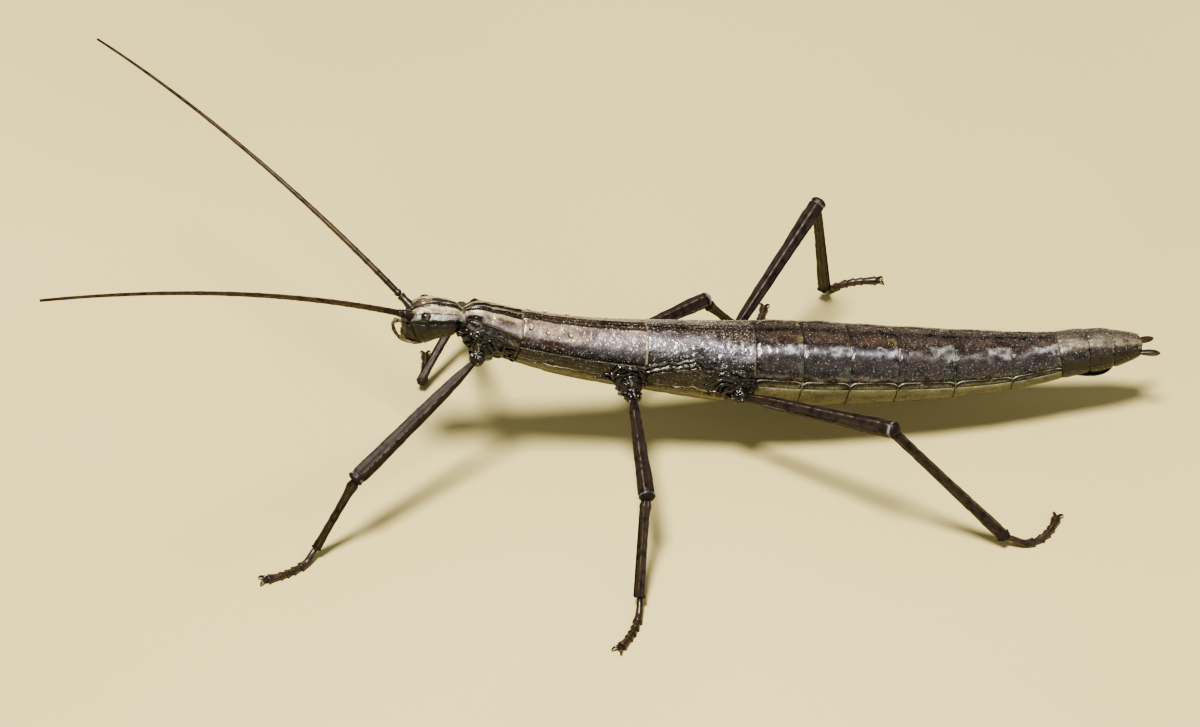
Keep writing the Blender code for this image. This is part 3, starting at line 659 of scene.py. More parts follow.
for number in range(2, 11):
    node = "abdomen_" + str(number)
    late = number >= FIRST_TAIL_RING
    back_finish = last_finish if late else rear_ring_finish if number > 4 else ring_finish
    add_plate("tergite_" + str(number), span_of(node, 0.1, 0.0 if number == 10 else 0.04),
              (94, -94) if late else (77, -77), back_relief, back_finish, [node], sink=0.04)
    belly = 93 if late else BELLY_ANGLE
    add_plate("sternite_" + str(number), span_of(node, 0.0, 0.03), (360 - belly, belly),
              belly_relief, shaded_tail_belly_finish if late else belly_finish)
    for side_name, sign in SIDES if not late else ():
        add_side_fold("side_fold_" + str(number) + "_" + side_name, span_of(node, 0.0, 0.05), sign)


# ---- tail ----
# The blunt end flap that closes the last ring, the black pointed plate under the tail that
# guides the eggs, and two short leaf-shaped cerci that grow beside the flap.
def swept(name, path, radius, columns, rows, flat=1.0):
    """A closed limb along a path of points. radius gives millimetres for shares along,
    degrees around and the distances from both ends, and comes to nothing at each end."""
    path = np.asarray(path, float)
    places = lengths_along(path)
    length = places[-1]
    fine = np.linspace(0, length, 200)
    line = hermite(fine, places, path)
    lean = unit(np.gradient(line, fine, axis=0))

    def place(along, around):
        reach = along * length
        centre, direction = (np.stack([np.interp(reach, fine, column) for column in table.T], 1)
                             for table in (line, lean))
        direction = unit(direction)
        side = np.cross(direction, (0.0, 0.0, 1.0))
        size = np.linalg.norm(side, axis=-1, keepdims=True)
        side = np.where(size > 0.05, side / np.maximum(size, 1e-6), (0.0, 1.0, 0.0))
        turn = np.radians(around * 360)
        size = radius(along, around * 360, reach, length - reach)
        points = (centre + side * (np.cos(turn) * size)[:, None]
                  + np.cross(side, direction) * (np.sin(turn) * size * flat)[:, None])
        return points, along, around

    return wrapped(name, columns, rows, place, closed=True)


def capped(distance, size):
    """How much of its radius a limb has this far from a rounded end."""
    return np.sqrt(1 - (1 - np.clip(distance / size, 0, 1)) ** 2)


def joined(name, meshes):
    """Several meshes made into one."""
    def gather(bm):
        for mesh in meshes:
            bm.from_mesh(mesh)
            bpy.data.meshes.remove(mesh)

    return shaped(bpy.data.meshes.new(name), gather)


def limb_finish(name, base, dark, pale, roughness=0.35, keels=5, pale_base=None, metallic=0.1,
                knee=None):
    """Bronze-brown cuticle with pale lines on its keels, darker at both ends, and with a
    broken ring of pale soft skin at the share along where the knee bends."""
    base, dark, pale = (shade(*tint) for tint in (base, dark, pale))
    made, tree, shader = start_finish(name, roughness, metallic, 0.25 if roughness < 0.3 else 0.0)
    shader["Specular IOR Level"].default_value = 0.28 if roughness > 0.4 else 0.5
    along, around = lie_of(tree)
    colour = ramp(noise_of(tree, 1400, 4.0),
                  ((0.32, dark), (0.52, base), (0.75, tuple(1.25 * part for part in base))))
    wave = maths('COSINE', times(around, keels * 2 * math.pi), 0.0)
    broken = spread(noise_of(tree, 2400, 2.0), 0.4, 0.6)
    colour = mix(times(spread(wave, 0.82, 1.0, 0.0, 0.7), broken), colour, pale)
    ends = add_node(tree, "Math", {0: 1.0, 1: window(along, 0.05, 0.95, 0.05)},
                    operation='SUBTRACT')[0]
    colour = mix(times(ends, 0.75), colour, dark)
    if pale_base:
        patch = times(window(along, -0.1, 0.16, 0.05), window(around, *pale_base, 0.06))
        colour = mix(times(patch, 0.9), colour, shade(186, 168, 122))
    if knee:
        ring = window(along, knee - 0.008, knee + 0.008, 0.006)
        colour = mix(times(ring, broken), colour, shade(126, 126, 124))
    join_finish(shader, colour, noise_of(tree, 4200, 3.0), 0.6, 0.03)
    return made


# The pale lines along the keels of this black glossy finish are painted highlights on the crests of its
# folds and ridges.
black_finish = limb_finish("black glossy cuticle", (34, 31, 30), (14, 12, 12), (128, 122, 112),
                           0.2, 4)
leaf_finish = limb_finish("cercus cuticle", (66, 52, 42), (30, 24, 20), (112, 96, 74), 0.4, 2)
tail_end = span_of("abdomen_10")[1]
operculum_box = box_of("operculum")
operculum_length = operculum_box[1][0] - operculum_box[0][0]


def flap_place(along, around):
    angle = 180 - 360 * around
    side = np.abs(angle)
    station = tail_end - 0.2 + (0.34 + rises(side, (0.14, 38, 22), (-0.16, 0, 10))) * along
    scale = np.sqrt(np.clip(1 - (0.1 + 0.9 * along) ** 3, 0, 1)) * 0.97
    notch = rises(side, (-0.12, 84, 12)) * np.sin(np.pi * np.clip(along, 0, 1))
    return on_body(station, angle, notch, scale), along * 0.8, angle / 180


def operculum_place(along, around):
    across = 2 * around - 1
    station = station_of(operculum_box[0][0]) + along * operculum_length
    half = 52 * np.sqrt(np.clip(1 - along ** 2.6, 0, 1)) * (0.7 + 0.3 * np.sin(np.pi * along))
    keel = rises(across, (0.12, 0, 0.35)) + rises(np.abs(across), (0.05, 0.85, 0.1))
    drop = 0.45 * np.sin(np.pi * np.clip((along - 0.46) / 0.75, 0, 1)) - 0.06 * (along < 0.46)
    return on_body(station, 180 - half * across, keel + drop), along, around


def leaf_radius(along, turn, reach, left):
    leaf = 0.2 + 0.14 * np.sin(np.pi * np.clip(along, 0, 1) ** 1.1)
    return leaf * capped(left, 0.45) * capped(reach, 0.05)


add_piece(wrapped("tail_flap", 24, 72, flap_place, closed=True), last_finish)
add_piece(wrapped("egg_plate", 84, 30, operculum_place), black_finish,
          ["operculum"], thick=0.1)
for side_name, _ in SIDES:
    low, high = box_of("cercus_" + side_name)
    heart = (low + high) / 2
    root = np.array((low[0] - 0.3, heart[1] * 0.85 + MIDDLE_Y * 0.15, heart[2] + 0.02))
    tip = np.array((high[0], heart[1] * 1.15 - MIDDLE_Y * 0.15, heart[2] - 0.02))
    leaf = swept("cercus_leaf_" + side_name, [root, heart, tip], leaf_radius, 36, 24, flat=0.8)
    add_piece(leaf, leaf_finish, ["cercus_" + side_name])


# ---- legs ----
# Six thin legs of bronze-brown cuticle with raised keels along them. Each has a black
# wrinkled coxa and ball-shaped trochanter, a femur, a tibia, five small foot joints with
# pads, and two claws beside a soft pad.
HIP_BALLS = {"front": 0.68, "middle": 0.72, "hind": 0.76}
COXA_ROOTS = {"front": (7.3, 1.2, 1.0), "middle": (19.9, 1.8, 1.4), "hind": (29.5, 2.2, 1.2)}
FOOT_JOINTS = ((0.0, 0.42), (0.42, 0.56), (0.56, 0.68), (0.68, 0.79), (0.79, 1.0))
SOLE = 0.26             # height of a foot's middle line where it lies on the floor
CLAW_TURN = math.radians(34)
FEWEST = 8              # corners in a whole ring of a limb's solid


def limb_rings(node, gap, headward=False):
    """The middle of a straight limb's solid, its axis, its corners, how far along the axis
    they lie, and the corners' numbers ring by ring. headward turns the axis forward."""
    corners = solid_corners(node)
    centre = corners.mean(axis=0)
    direction = np.linalg.svd(corners - centre)[2][0]
    direction = -direction if headward and direction[0] > 0 else direction
    reach = (corners - centre) @ direction
    order = np.argsort(reach)
    groups = np.split(order, np.nonzero(np.diff(reach[order]) > gap)[0] + 1)
    return centre, direction, corners, reach, groups


def limb_solid(node, near):
    """The end of a straight limb that lies near a point, its far end, its direction, and the
    distance and radius of each ring."""
    centre, direction, corners, reach, groups = limb_rings(node, 0.02)
    rings = []
    for group in groups:
        if len(group) >= FEWEST:
            out = corners[group] - centre - np.outer(reach[group], direction)
            rings.append((reach[group].mean(), np.linalg.norm(out, axis=1).mean()))
    rings = np.array(rings)
    low, high = reach.min(), reach.max()
    ends = [centre + direction * low, centre + direction * high]
    if np.linalg.norm(ends[1] - near) < np.linalg.norm(ends[0] - near):
        return *ends[::-1], -direction, rings[::-1, 0] * -1 + high, rings[::-1, 1]
    return *ends, direction, rings[:, 0] - low, rings[:, 1]


def keels(turn, count, height):
    """A radius that swells a little at each raised keel."""
    return 1 + height * (np.cos(np.radians(turn) * count) - 0.3)


def straight(start, end, steps=7):
    """Evenly spaced points from one place to another."""
    return [start + (end - start) * share for share in np.linspace(0, 1, steps)]


def foot_line(node, ankle):
    """Middle points of a foot from the ankle, down to the floor and along it."""
    corners = solid_corners(node)
    plan = corners[:, :2] - ankle[:2]
    reach = np.linalg.norm(plan, axis=1)
    far = corners[reach.argmax(), :2]
    apart = np.linalg.norm(corners[:, :2] - far, axis=1)
    others = (apart > 0.4) & (apart < 1.2)
    tips = [far, corners[others][reach[others].argmax(), :2]] if others.any() else [far]
    chord = np.mean(tips, axis=0) - ankle[:2]
    length = np.linalg.norm(chord)
    chord = chord / length
    across = np.array((-chord[1], chord[0]))
    along, side = plan @ chord, plan @ across
    kept = (along > 0.1) & (along < length - 0.75)
    fit = np.polyfit(np.append(along[kept], (0.0, length)), np.append(side[kept], (0.0, 0.0)), 3,
                     w=np.append(np.ones(kept.sum()), (30.0, 30.0)))
    places = np.linspace(0, length - 0.45, 60)
    plan = ankle[:2] + np.outer(places, chord) + np.outer(np.polyval(fit, places), across)
    lean = np.clip(np.linspace(0, 1, 60) / 0.3, 0, 1)
    return np.column_stack([plan, SOLE + (ankle[2] - SOLE) * (1 + np.cos(np.pi * lean)) / 2])


def piece_of_line(line, first, last, count=9):
    """Evenly spaced points of a line between two shares of it."""
    places = lengths_along(line)
    wanted = np.linspace(first, last, count)
    return np.stack([np.interp(wanted, places / places[-1], column) for column in line.T], 1)


def on_floor(mesh):
    """A foot with its sole pressed flat where it meets the floor."""
    mesh.vertices.foreach_set("co", np.maximum(places_in(mesh), (-1, -1, 0)).ravel())
    return mesh


BRONZE, DARK_BRONZE, PALE_LINE = (50, 40, 35), (27, 22, 20), (120, 104, 94)
leg_finish = limb_finish("leg cuticle", BRONZE, DARK_BRONZE, PALE_LINE, 0.52, metallic=0.0,
                         knee=0.963)
shin_finish = limb_finish("shin cuticle", (54, 45, 37), (30, 25, 21), (108, 94, 76), 0.42)
front_leg_finish = limb_finish("front leg cuticle", BRONZE, DARK_BRONZE, PALE_LINE, 0.56,
                               pale_base=(0.6, 0.95), metallic=0.0, knee=0.966)
foot_finish = limb_finish("foot cuticle", (58, 46, 36), (30, 24, 20), (124, 104, 80), 0.34, 4)
claw_finish = limb_finish("claw", (48, 36, 27), (22, 16, 13), (96, 72, 54), 0.2, 2)
hip_places = {}


def build_leg(pair, side_name, sign):
    start = "leg_" + pair + "_" + side_name + "_"
    ball = HIP_BALLS[pair]
    near, end, thigh_way, thigh_rings, thigh_radii = limb_solid(
        start + "femur", solid_corners(start + "coxa").mean(axis=0))
    knob = thigh_radii.max()
    hip = hip_places[start] = near - thigh_way * (ball + 0.04)
    knee = end - thigh_way * knob
    _, ankle, shin_way, shin_rings, shin_radii = limb_solid(start + "tibia", end)
    station, out, drop = COXA_ROOTS[pair]
    middle, upward, *_ = body_section(np.array([station]))
    root = middle[0] - upward[0] * drop - (0, sign * out, 0)

    def coxa_radius(along, turn, reach, left):
        cone = np.interp(left / ball, (0, 1.15, 1.5, 2.0, 3.2), (1, 1, 0.8, 1.5, 1.545)) * ball
        round_end = np.where(left < ball, capped(left, ball), 1.0)
        creases = 0.07 * np.sin(left * 11 + 1.2 * np.sin(np.radians(turn * 3)))
        lumps = 0.12 * grain(left + 5, turn / 40, 0.3, len(pair) + len(side_name))
        return cone * round_end * (1 + creases + lumps) * capped(reach, 0.3)

    def femur_radius(along, turn, reach, left):
        size = np.interp(reach, thigh_rings - 0.1, thigh_radii)
        size = np.where(left < knob, knob * 0.94 * capped(left, knob * 0.5), size)
        rings = rises(left, (0.09, knob * 1.15, 0.13), (0.06, knob * 0.55, 0.1),
                      (-0.16, knob * 0.8, 0.1), (-0.05, knob * 1.9, 0.4))
        knots = 0.05 * grain(reach + 2, turn / 50, 0.7, 61) * (reach < thigh_rings.max())
        ridged = 1 + (keels(turn, 5, 0.1) - 1) * np.clip(left / knob - 0.5, 0, 1)
        stout = 0.06 + 0.18 * np.clip((along - 0.1) / 0.32, 0, 1) if pair == "front" else 0.0
        return size * ridged * (1 + rings + knots + stout) * capped(reach, 0.12)

    def tibia_radius(along, turn, reach, left):
        size = np.interp(reach, shin_rings - 0.05, shin_radii)
        size = np.where(left < 0.25, size.max() * 0.95, size)
        swell = rises(reach, (0.46, knob * 0.5, 0.9)) + rises(left, (0.25, 0.25, 0.35))
        knots = 0.06 * grain(reach + 2, turn / 50, 0.6, 67)
        return (size * keels(turn, 5, 0.11) * (1 + swell + knots) * capped(reach, 0.15)
                * capped(left, 0.14))

    def joint_radius(along, turn, reach, left):
        flare = np.clip(-np.sin(np.radians(turn)), 0, 1) * rises(left, (0.35, 0.12, 0.14))
        return size * (0.66 + 0.4 * along ** 2) * (1 + flare) * capped(reach, 0.1) * capped(left, 0.1)

    def hook_radius(along, turn, reach, left):
        return 0.21 * (1 - 0.76 * along) * capped(left, 0.08) * capped(reach, 0.05)

    def pad_radius(along, turn, reach, left):
        return 0.3 * np.sin(np.pi * np.clip(along * 0.8 + 0.15, 0, 1)) * capped(left, 0.15)

    coxa = swept(start + "coxa_joint", straight(root, hip - unit(root - hip) * ball), coxa_radius,
                 70, 60)
    add_piece(coxa, black_finish, [start + "coxa"])
    thigh = swept(start + "thigh", straight(hip + thigh_way * ball * 0.6, end), femur_radius,
                  150, 40)
    add_piece(thigh, front_leg_finish if pair == "front" else leg_finish,
              [start + "femur"])
    shin = swept(start + "shin", straight(knee + shin_way * knob * 0.55, ankle), tibia_radius,
                 150, 40)
    add_piece(shin, shin_finish, [start + "tibia"])

    line = foot_line(start + "tarsus", ankle)
    meshes = []
    for number, (first, last) in enumerate(FOOT_JOINTS):
        size = 0.4 if number < 4 else 0.44
        bit = piece_of_line(line, max(first - 0.015, 0), last + 0.012 * (number < 4))
        meshes.append(swept("foot_joint", bit, joint_radius, 26, 20))
    add_piece(on_floor(joined(start + "foot", meshes)), foot_finish, [start + "tarsus"])

    tip, forward = line[-1], unit(line[-1] - line[-4])
    meshes = []
    for turn in (-CLAW_TURN, CLAW_TURN):
        cosine, sine = math.cos(turn), math.sin(turn)
        out = np.array((forward[0] * cosine - forward[1] * sine,
                        forward[0] * sine + forward[1] * cosine, 0))
        route = [tip - forward * 0.2, tip + out * 0.3 + (0, 0, 0.2),
                 tip + out * 0.68 + (0, 0, 0.14), tip + out * 0.86 + (0, 0, -0.12)]
        meshes.append(swept("hook", route, hook_radius, 20, 12))
    meshes.append(swept("pad", [tip + forward * share for share in (-0.1, 0.16, 0.42)],
                        pad_radius, 14, 16, flat=0.7))
    add_piece(on_floor(joined(start + "claws", meshes)), claw_finish, [start + "tarsus"])


for pair in HIP_BALLS:
    for side_name, sign in SIDES:
        build_leg(pair, side_name, sign)


# ---- hip folds ----
# Black glossy wrinkles of cuticle bulge in arcs round the root of every leg, where the soft
# skin folds as the leg moves.
HIP_FOLDS = {
    "front": ((0.0, 0.1, 1.15, 1.0, -30, 205, 0.17), (0.1, 0.25, 1.6, 1.4, 5, 165, 0.14),
              (1.75, 0.25, 0.6, 0.42, -50, 230, 0.13), (2.3, -0.15, 0.45, 0.3, -90, 210, 0.11),
              (-1.3, 0.75, 0.6, 0.5, -10, 200, 0.19), (-0.8, 1.25, 0.8, 0.3, 10, 170, 0.16),
              (0.9, -0.55, 0.9, 0.3, 190, 350, 0.12), (1.7, 0.75, 1.1, 0.3, 20, 170, 0.1),
              (-1.95, 0.75, 0.45, 0.6, 70, 290, 0.26), (-2.3, 0.35, 0.3, 0.6, 80, 280, 0.22),
              (-1.6, 0.2, 0.35, 0.7, 80, 280, 0.24), (-1.2, -0.2, 0.4, 0.5, 90, 270, 0.2)),
    "middle": ((0.0, 0.1, 1.15, 1.0, -10, 190, 0.16), (0.0, 0.25, 1.6, 1.35, 15, 170, 0.13),
               (1.3, 0.1, 0.42, 0.42, 0, 360, 0.1), (-1.5, 0.35, 0.55, 0.4, 0, 240, 0.12),
               (-0.7, 1.25, 0.6, 0.35, -30, 200, 0.12), (0.6, 1.35, 0.55, 0.3, -20, 190, 0.1),
               (-1.9, -0.2, 0.9, 0.25, 20, 170, 0.09)),
    "hind": ((0.0, 0.0, 1.2, 0.95, -10, 190, 0.15), (-0.3, 0.3, 1.9, 1.0, 10, 172, 0.12),
             (-0.7, 0.5, 2.5, 1.15, 25, 160, 0.1), (-1.9, 0.05, 0.5, 0.35, 0, 360, 0.1),
             (-0.5, 0.75, 2.9, 1.25, 45, 150, 0.09), (1.3, -0.2, 0.35, 0.45, -60, 200, 0.11))}


def add_hip_folds(pair, side_name, sign):
    """The wrinkles of one hip. Each is given by its middle, its half width and height, its
    first and last turn and its thickness."""
    station, _, drop = COXA_ROOTS[pair]
    _, _, width, _, depth = body_section(np.array([station]))
    girth = (width[0] + depth[0]) / 2
    low = 90 + math.degrees(math.asin(min(1.0, drop / depth[0])))
    meshes = []
    for number, (ahead, above, wide, tall, first, last, thick) in enumerate(HIP_FOLDS[pair]):
        turn = np.radians(np.linspace(first, last, 15))
        wave = 1 + 0.12 * np.sin(turn * 5 + number * 2 + sign)
        along = station + ahead + wide * np.cos(turn) * wave
        angle = low - np.degrees((above + tall * np.sin(turn) * wave) / girth)
        path = on_body(along, sign * angle, 0.02 + 0.04 * np.sin(turn * 3 + number))

        def fold_radius(along, turn, reach, left):
            lumps = 1 + 0.3 * grain(reach + 3 * number + 4, turn / 90, 0.3, 71 + number)
            return thick * lumps * capped(reach, 0.3) * capped(left, 0.3)

        meshes.append(swept("fold", path, fold_radius, 56, 14))
    add_piece(joined("hip_folds_" + pair + "_" + side_name, meshes), black_finish)


for pair in HIP_BALLS:
    for side_name, sign in SIDES:
        add_hip_folds(pair, side_name, sign)


# ---- granules ----
# Tiny hard beads stand on the back: pale ones in rows beside the middle line and strewn over
# the rings, five larger pearly ones on each side, and black ones along the side ridges.
def bead_finish(name, dark, middle, pale, roughness):
    made, tree, shader = start_finish(name, roughness, 0.1, 0.4)
    join_finish(shader, ramp(noise_of(tree, 2600), ((0.35, shade(*dark)), (0.5, shade(*middle)),
                                                    (0.68, shade(*pale)))))
    return made


pale_beads = bead_finish("pale granules", (96, 84, 74), (146, 134, 122), (196, 186, 170), 0.22)
black_beads = bead_finish("black granules", (14, 12, 12), (30, 27, 26), (66, 60, 56), 0.16)
pearl_beads = bead_finish("pearly granules", (150, 140, 124), (206, 198, 180), (232, 226, 210),
                          0.15)


def add_beads(name, places, sizes, finish, faces=1):
    """Small round beads at places in millimetres, joined into one piece."""
    def round_beads(bm):
        for place, radius in zip(places, sizes):
            bmesh.ops.create_icosphere(bm, subdivisions=faces, radius=radius * MM,
                                       matrix=Matrix.Translation(Vector(place) * MM))

    add_piece(shaped(bpy.data.meshes.new(name), round_beads), finish)


def add_granules(name, plate, spots, finish=pale_beads, faces=1, proud=0.15):
    """Beads on a plate of the back. Each spot is a share along, degrees and a radius; proud
    is how far a bead's heart stands off the plate, in its own radii."""
    (start, end), relief, bend = plate
    along, angle, size = np.array(spots).T
    station = start + along * (end - start)
    lift = relief(station - start, angle, along) + size * proud
    lies = np.sign(angle) * bend(np.abs(angle), along) if bend else angle
    add_beads(name, on_body(station, lies, lift), size, finish, faces)


def strewn(seed, count, shares, angles, sizes):
    """Chance places on both sides within limits."""
    chance = np.random.default_rng(seed)
    made = np.stack([chance.uniform(*limits, count) for limits in (shares, angles, sizes)], 1)
    made[::2, 1] *= -1
    return made.tolist()


def in_row(seed, angle, gap, plate, sizes):
    """Uneven rows on both sides at one angle."""
    chance = np.random.default_rng(seed)
    step = gap / (plate[0][1] - plate[0][0])
    return [(share + chance.uniform(-0.3, 0.3) * step, side * (angle + chance.uniform(-0.8, 0.8)),
             chance.uniform(*sizes)) for side in (-1, 1) for share in np.arange(0.03, 0.97, step)]


PEARLS = ((0.05, 32, 0.12), (0.19, 35, 0.15), (0.28, 40, 0.11), (0.37, 34, 0.15), (0.7, 37, 0.11))
meso = span_of("mesothorax", 0.12, 0.05), mesonotum_relief, mesonotum_bend
meta = span_of("metathorax", 0.12, 0.05), metanotum_relief, metanotum_bend
pearls = np.array([(share, side * angle, size) for share, angle, size in PEARLS
                   for side in (-1, 1)])
add_granules("mesonotum_granules", meso, in_row(81, 6.3, 0.9, meso, (0.03, 0.05))
             + in_row(82, 12.5, 1.1, meso, (0.03, 0.05))
             + strewn(83, 110, (0.02, 0.97), (15, 56), (0.02, 0.045)))
add_granules("mesonotum_pearls", meso, pearls, pearl_beads, 3, 0.7)
add_granules("mesonotum_pearl_feet", meso, pearls * (1, 1, 1.5), black_beads, 3, -0.5)
ridge_beads = np.array(in_row(84, 61.5, 0.38, meso, (0.07, 0.11))) * (1, 1, 0.8)
add_granules("mesonotum_ridge_beads", meso, ridge_beads, black_beads, 2)
add_granules("metanotum_granules", meta, in_row(85, 3.5, 0.42, meta, (0.035, 0.06))
             + in_row(86, 9, 0.5, meta, (0.03, 0.06))
             + strewn(87, 560, (0.01, 0.98), (8, 50), (0.02, 0.05))
             + strewn(88, 120, (0.45, 0.98), (2, 24), (0.03, 0.06)))
for number in range(2, 11):
    if number >= FIRST_TAIL_RING:
        spots = strewn(90 + number, 150, (0.06, 0.96), (3, 66), (0.02, 0.045))
    else:
        spots = strewn(90 + number, 130, (0.06, 0.98), (3, 25), (0.02, 0.045))
        spots += strewn(190 + number, 70, (0.04, 0.97), (40, 72), (0.018, 0.035))
    plate = span_of("abdomen_" + str(number), 0.1, 0.04), back_relief, None
    add_granules("tergite_granules_" + str(number), plate, spots)
# The pale beads round each hip ball are partly real pearly beads and partly painted glints, standing for
# the bright specks on the glossy black trochanter.
chance = np.random.default_rng(301)
for start, hip in hip_places.items():
    ways = chance.normal(0, 1, (26, 3))
    ways = unit(ways[ways[:, 2] > -0.6]) * HIP_BALLS[start.split("_")[1]] * 0.98
    add_beads(start + "hip_beads", hip + ways, chance.uniform(0.04, 0.1, len(ways)), pale_beads, 2)


# ---- feelers ----
# Each feeler is a stout scape and a short pedicel at the head, then many thin ringed
# joints that taper to the tip; brown cuticle with fine pale lines along it.
def scape_radius(along, turn, reach, left):
    return (0.36 - 0.04 * np.cos(along * 9)) * capped(left, 0.12) * capped(reach, 0.1)


def pedicel_radius(along, turn, reach, left):
    return (0.3 - 0.03 * np.cos(along * 7)) * capped(left, 0.1) * capped(reach, 0.1)


def whip_radius(along, turn, reach, left):
    ring = np.clip(np.cos(2 * np.pi * reach / (1.05 + 1.4 * along)), 0, 1) ** 4
    return (0.27 - 0.17 * along ** 0.8) * (1 + 0.09 * ring) * capped(left, 0.1) * capped(reach, 0.1)


feeler_finish = limb_finish("feeler cuticle", (70, 57, 43), (36, 29, 24), (124, 104, 78), 0.46, 2)
scape_finish = limb_finish("scape cuticle", (50, 43, 37), (26, 22, 20), (120, 108, 92), 0.36, 3)
for side_name, sign in SIDES:
    nodes = ["antenna_" + side_name + "_" + number for number in ("1", "2", "3")]
    line = []
    for node in nodes:
        _, _, corners, _, groups = limb_rings(node, 0.5, headward=True)
        line += [corners[group].mean(axis=0) for group in groups[bool(line):]]
    lean = unit(line[0] - line[1])
    root = line[0] + lean * 1.3
    route = np.array(straight(root + lean * 0.3, line[0] - lean * 0.02))
    sunk = np.linspace(1, 0, len(route))[:, None] ** 2.5
    route += sunk * (0.1, (MIDDLE_Y - root[1]) * 0.45, -0.3 if sign > 0 else 0.0)
    scape = swept("scape", route, scape_radius, 40, 24)
    pedicel = swept("pedicel", straight(line[0] - lean * 0.02, line[0] - lean * 0.62),
                    pedicel_radius, 24, 20)
    add_piece(joined("scape_" + side_name, [scape, pedicel]), scape_finish,
              ["antenna_scape_" + side_name])
    whip = swept("whip_" + side_name, [line[0] - lean * 0.55] + line[1:], whip_radius, 700, 12)
    add_piece(whip, feeler_finish, nodes)


# ---- head ----
# A hard rounded capsule with the face in front: black and cream bands above, a smooth dark
# cheek below, two low humps behind the feelers and raised rims round feelers and eyes.
HEAD_FRONT, HEAD_LENGTH = -0.22, 4.95
eye_box = box_of("eye_left")
EYE_STATION = station_of((eye_box[0][0] + eye_box[1][0]) / 2) - 0.14
EYE_ANGLE = 43.0
FEELER_STATION, FEELER_ANGLE = 0.5, 37.0


def head_relief(station, angle):
    side = np.abs(angle)

    def apart(here, turn):
        return np.hypot(station - here, np.radians(side - turn) * 1.6)

    def past(place, reach):
        return np.clip((station - place) / reach, 0, 1)

    dome = 0.19 * past(0.2, 1.0) * past(4.6, -1.9) * np.clip((88 - side) / 44, 0, 1)
    hump = rises(station, (0.1, 1.2, 0.4)) * rises(side, (1, 20, 13))
    rims = (rises(apart(FEELER_STATION, FEELER_ANGLE), (0.13, 0.5, 0.1), (-0.2, 0, 0.34))
            + rises(apart(EYE_STATION, EYE_ANGLE), (0.04, 0.5, 0.1), (0.07, 0.45, 0.3),
                    (-0.16, 0, 0.36)))
    cheek = rises(side, (0.06, 88, 14)) * past(1.0, 0.8)
    seam = rises(station - 0.3 - (side - 62) * 0.016, (-0.16, 0, 0.08)) * (side > 56) * (side < 132)
    ridge = rises(side, (0.09, 55, 3)) * past(1.9, 0.4)
    hollow = rises(side, (-0.1, 63, 5)) * past(0.5, 0.5)
    crown = rises(side, (0.04, 0, 1.6), (0.05, 9.5, 2.4))
    crown = crown + rises(side, (-0.05, 4.5, 2.0)) * (station > 1.4)
    nape = (rises(station, (-0.03, 4.5, 0.2)) - 0.34 * past(4.0, 1.1) ** 2
            - rises(side, (0.22, 100, 32)) * past(3.4, 1.2))
    lines = rises(side, (-0.05, 36 + 2 * np.sin(station * 3), 1.6)) * (station > 2.2)
    pits = 0.05 * np.minimum(0, grain(station * 2 + 5, angle / 16, 0.36, 33))
    return (dome + hump + rims + cheek + seam + ridge + hollow + crown + nape + lines
            + pits * np.clip(side / 30, 0, 1) + 0.03 * grain(station + 7, angle / 22, 0.3, 31))


def head_place(along, around):
    station = HEAD_FRONT + along * (HEAD_LENGTH - HEAD_FRONT)
    angle = 180 - 360 * around
    scale = capped(station - HEAD_FRONT, 0.5)
    return on_body(station, angle, head_relief(station, angle) * scale, scale), along, angle / 180


HEAD_STRIPES = (
    (0, (126, 114, 86)), (1.3, (140, 128, 98)), (2.4, INK), (13.5, INK), (15.5, (140, 128, 98)),
    (18, CREAM), (26, (172, 160, 128)), (33, (190, 180, 146)), (35.5, (52, 46, 40)),
    (38, (176, 170, 162)), (44, (156, 152, 150)), (51, (120, 116, 112)), (54, INK), (66, INK),
    (69, (40, 35, 31)), (92, (50, 43, 36)), (118, (48, 41, 34)), (135, (34, 28, 25)), (180, (30, 25, 22)))
# The near-white patch at 42 to 51 degrees just behind the eye is a painted highlight on the silvery band.
HEAD_PATCHES = (
    (0.2, 0.47, -2, 17, (88, 70, 55)), (-0.2, 0.17, -1, 62, (48, 43, 40)),
    (0.12, 0.24, 24, 50, (128, 122, 112)), (0.26, 0.6, 50, 80, INK), (0.5, 0.9, 74, 98, (62, 54, 43)),
    (0.27, 0.42, 46, 60, INK), (0.43, 0.56, 42, 51, (196, 192, 190)), (0.42, 0.9, 36, 37.5, INK),
    (0.95, 1.2, 6, 58, (168, 160, 132)), (-0.1, 0.2, 58, 150, (40, 33, 33)))
head_finish = plate_finish("head cuticle", HEAD_STRIPES, 0.45, 0.1, 3.5, 0.4,
                           patches=HEAD_PATCHES, cloud=0.65, grit=0.7, bare=56)
add_piece(wrapped("head_capsule", 170, 190, head_place, closed=True), head_finish,
          ["head"])


# ---- mouth ----
# Dark glossy mouthparts under the face: the lip plate in front with its middle notch, a
# stout jaw on each side and the lower lip behind; two pale jointed palps at their sides.
mouth_low = box_of("mouthparts")[0]
MOUTH_HEART = np.array((mouth_low[0] + 0.62, MIDDLE_Y, mouth_low[2] + 0.7))
mouth_finish = limb_finish("mouth cuticle", (52, 43, 42), (20, 16, 15), (104, 92, 92), 0.22, 2)


def add_mouthpart(name, offset, radii, relief, fineness=40):
    """A closed rounded form. relief takes directions from its heart and gives shares."""
    def place(along, around):
        tilt, turn = along * math.pi, around * 2 * math.pi
        ways = np.stack([-np.cos(tilt), np.sin(tilt) * np.cos(turn),
                         np.sin(tilt) * np.sin(turn)], 1)
        size = 1 + relief(*ways.T) * np.sin(tilt) ** 0.5
        return MOUTH_HEART + offset + ways * radii * size[:, None], along, around

    add_piece(wrapped(name, fineness, fineness, place, closed=True), mouth_finish,
              ["mouthparts"])


def lip_relief(x, y, z):
    notch = rises(y, (-0.22, 0, 0.1)) * (z < -0.1)
    return notch + rises(z, (-0.1, 0.15, 0.05)) + 0.05 * grain(y * 3 + 4, z * 3, 0.4, 41)


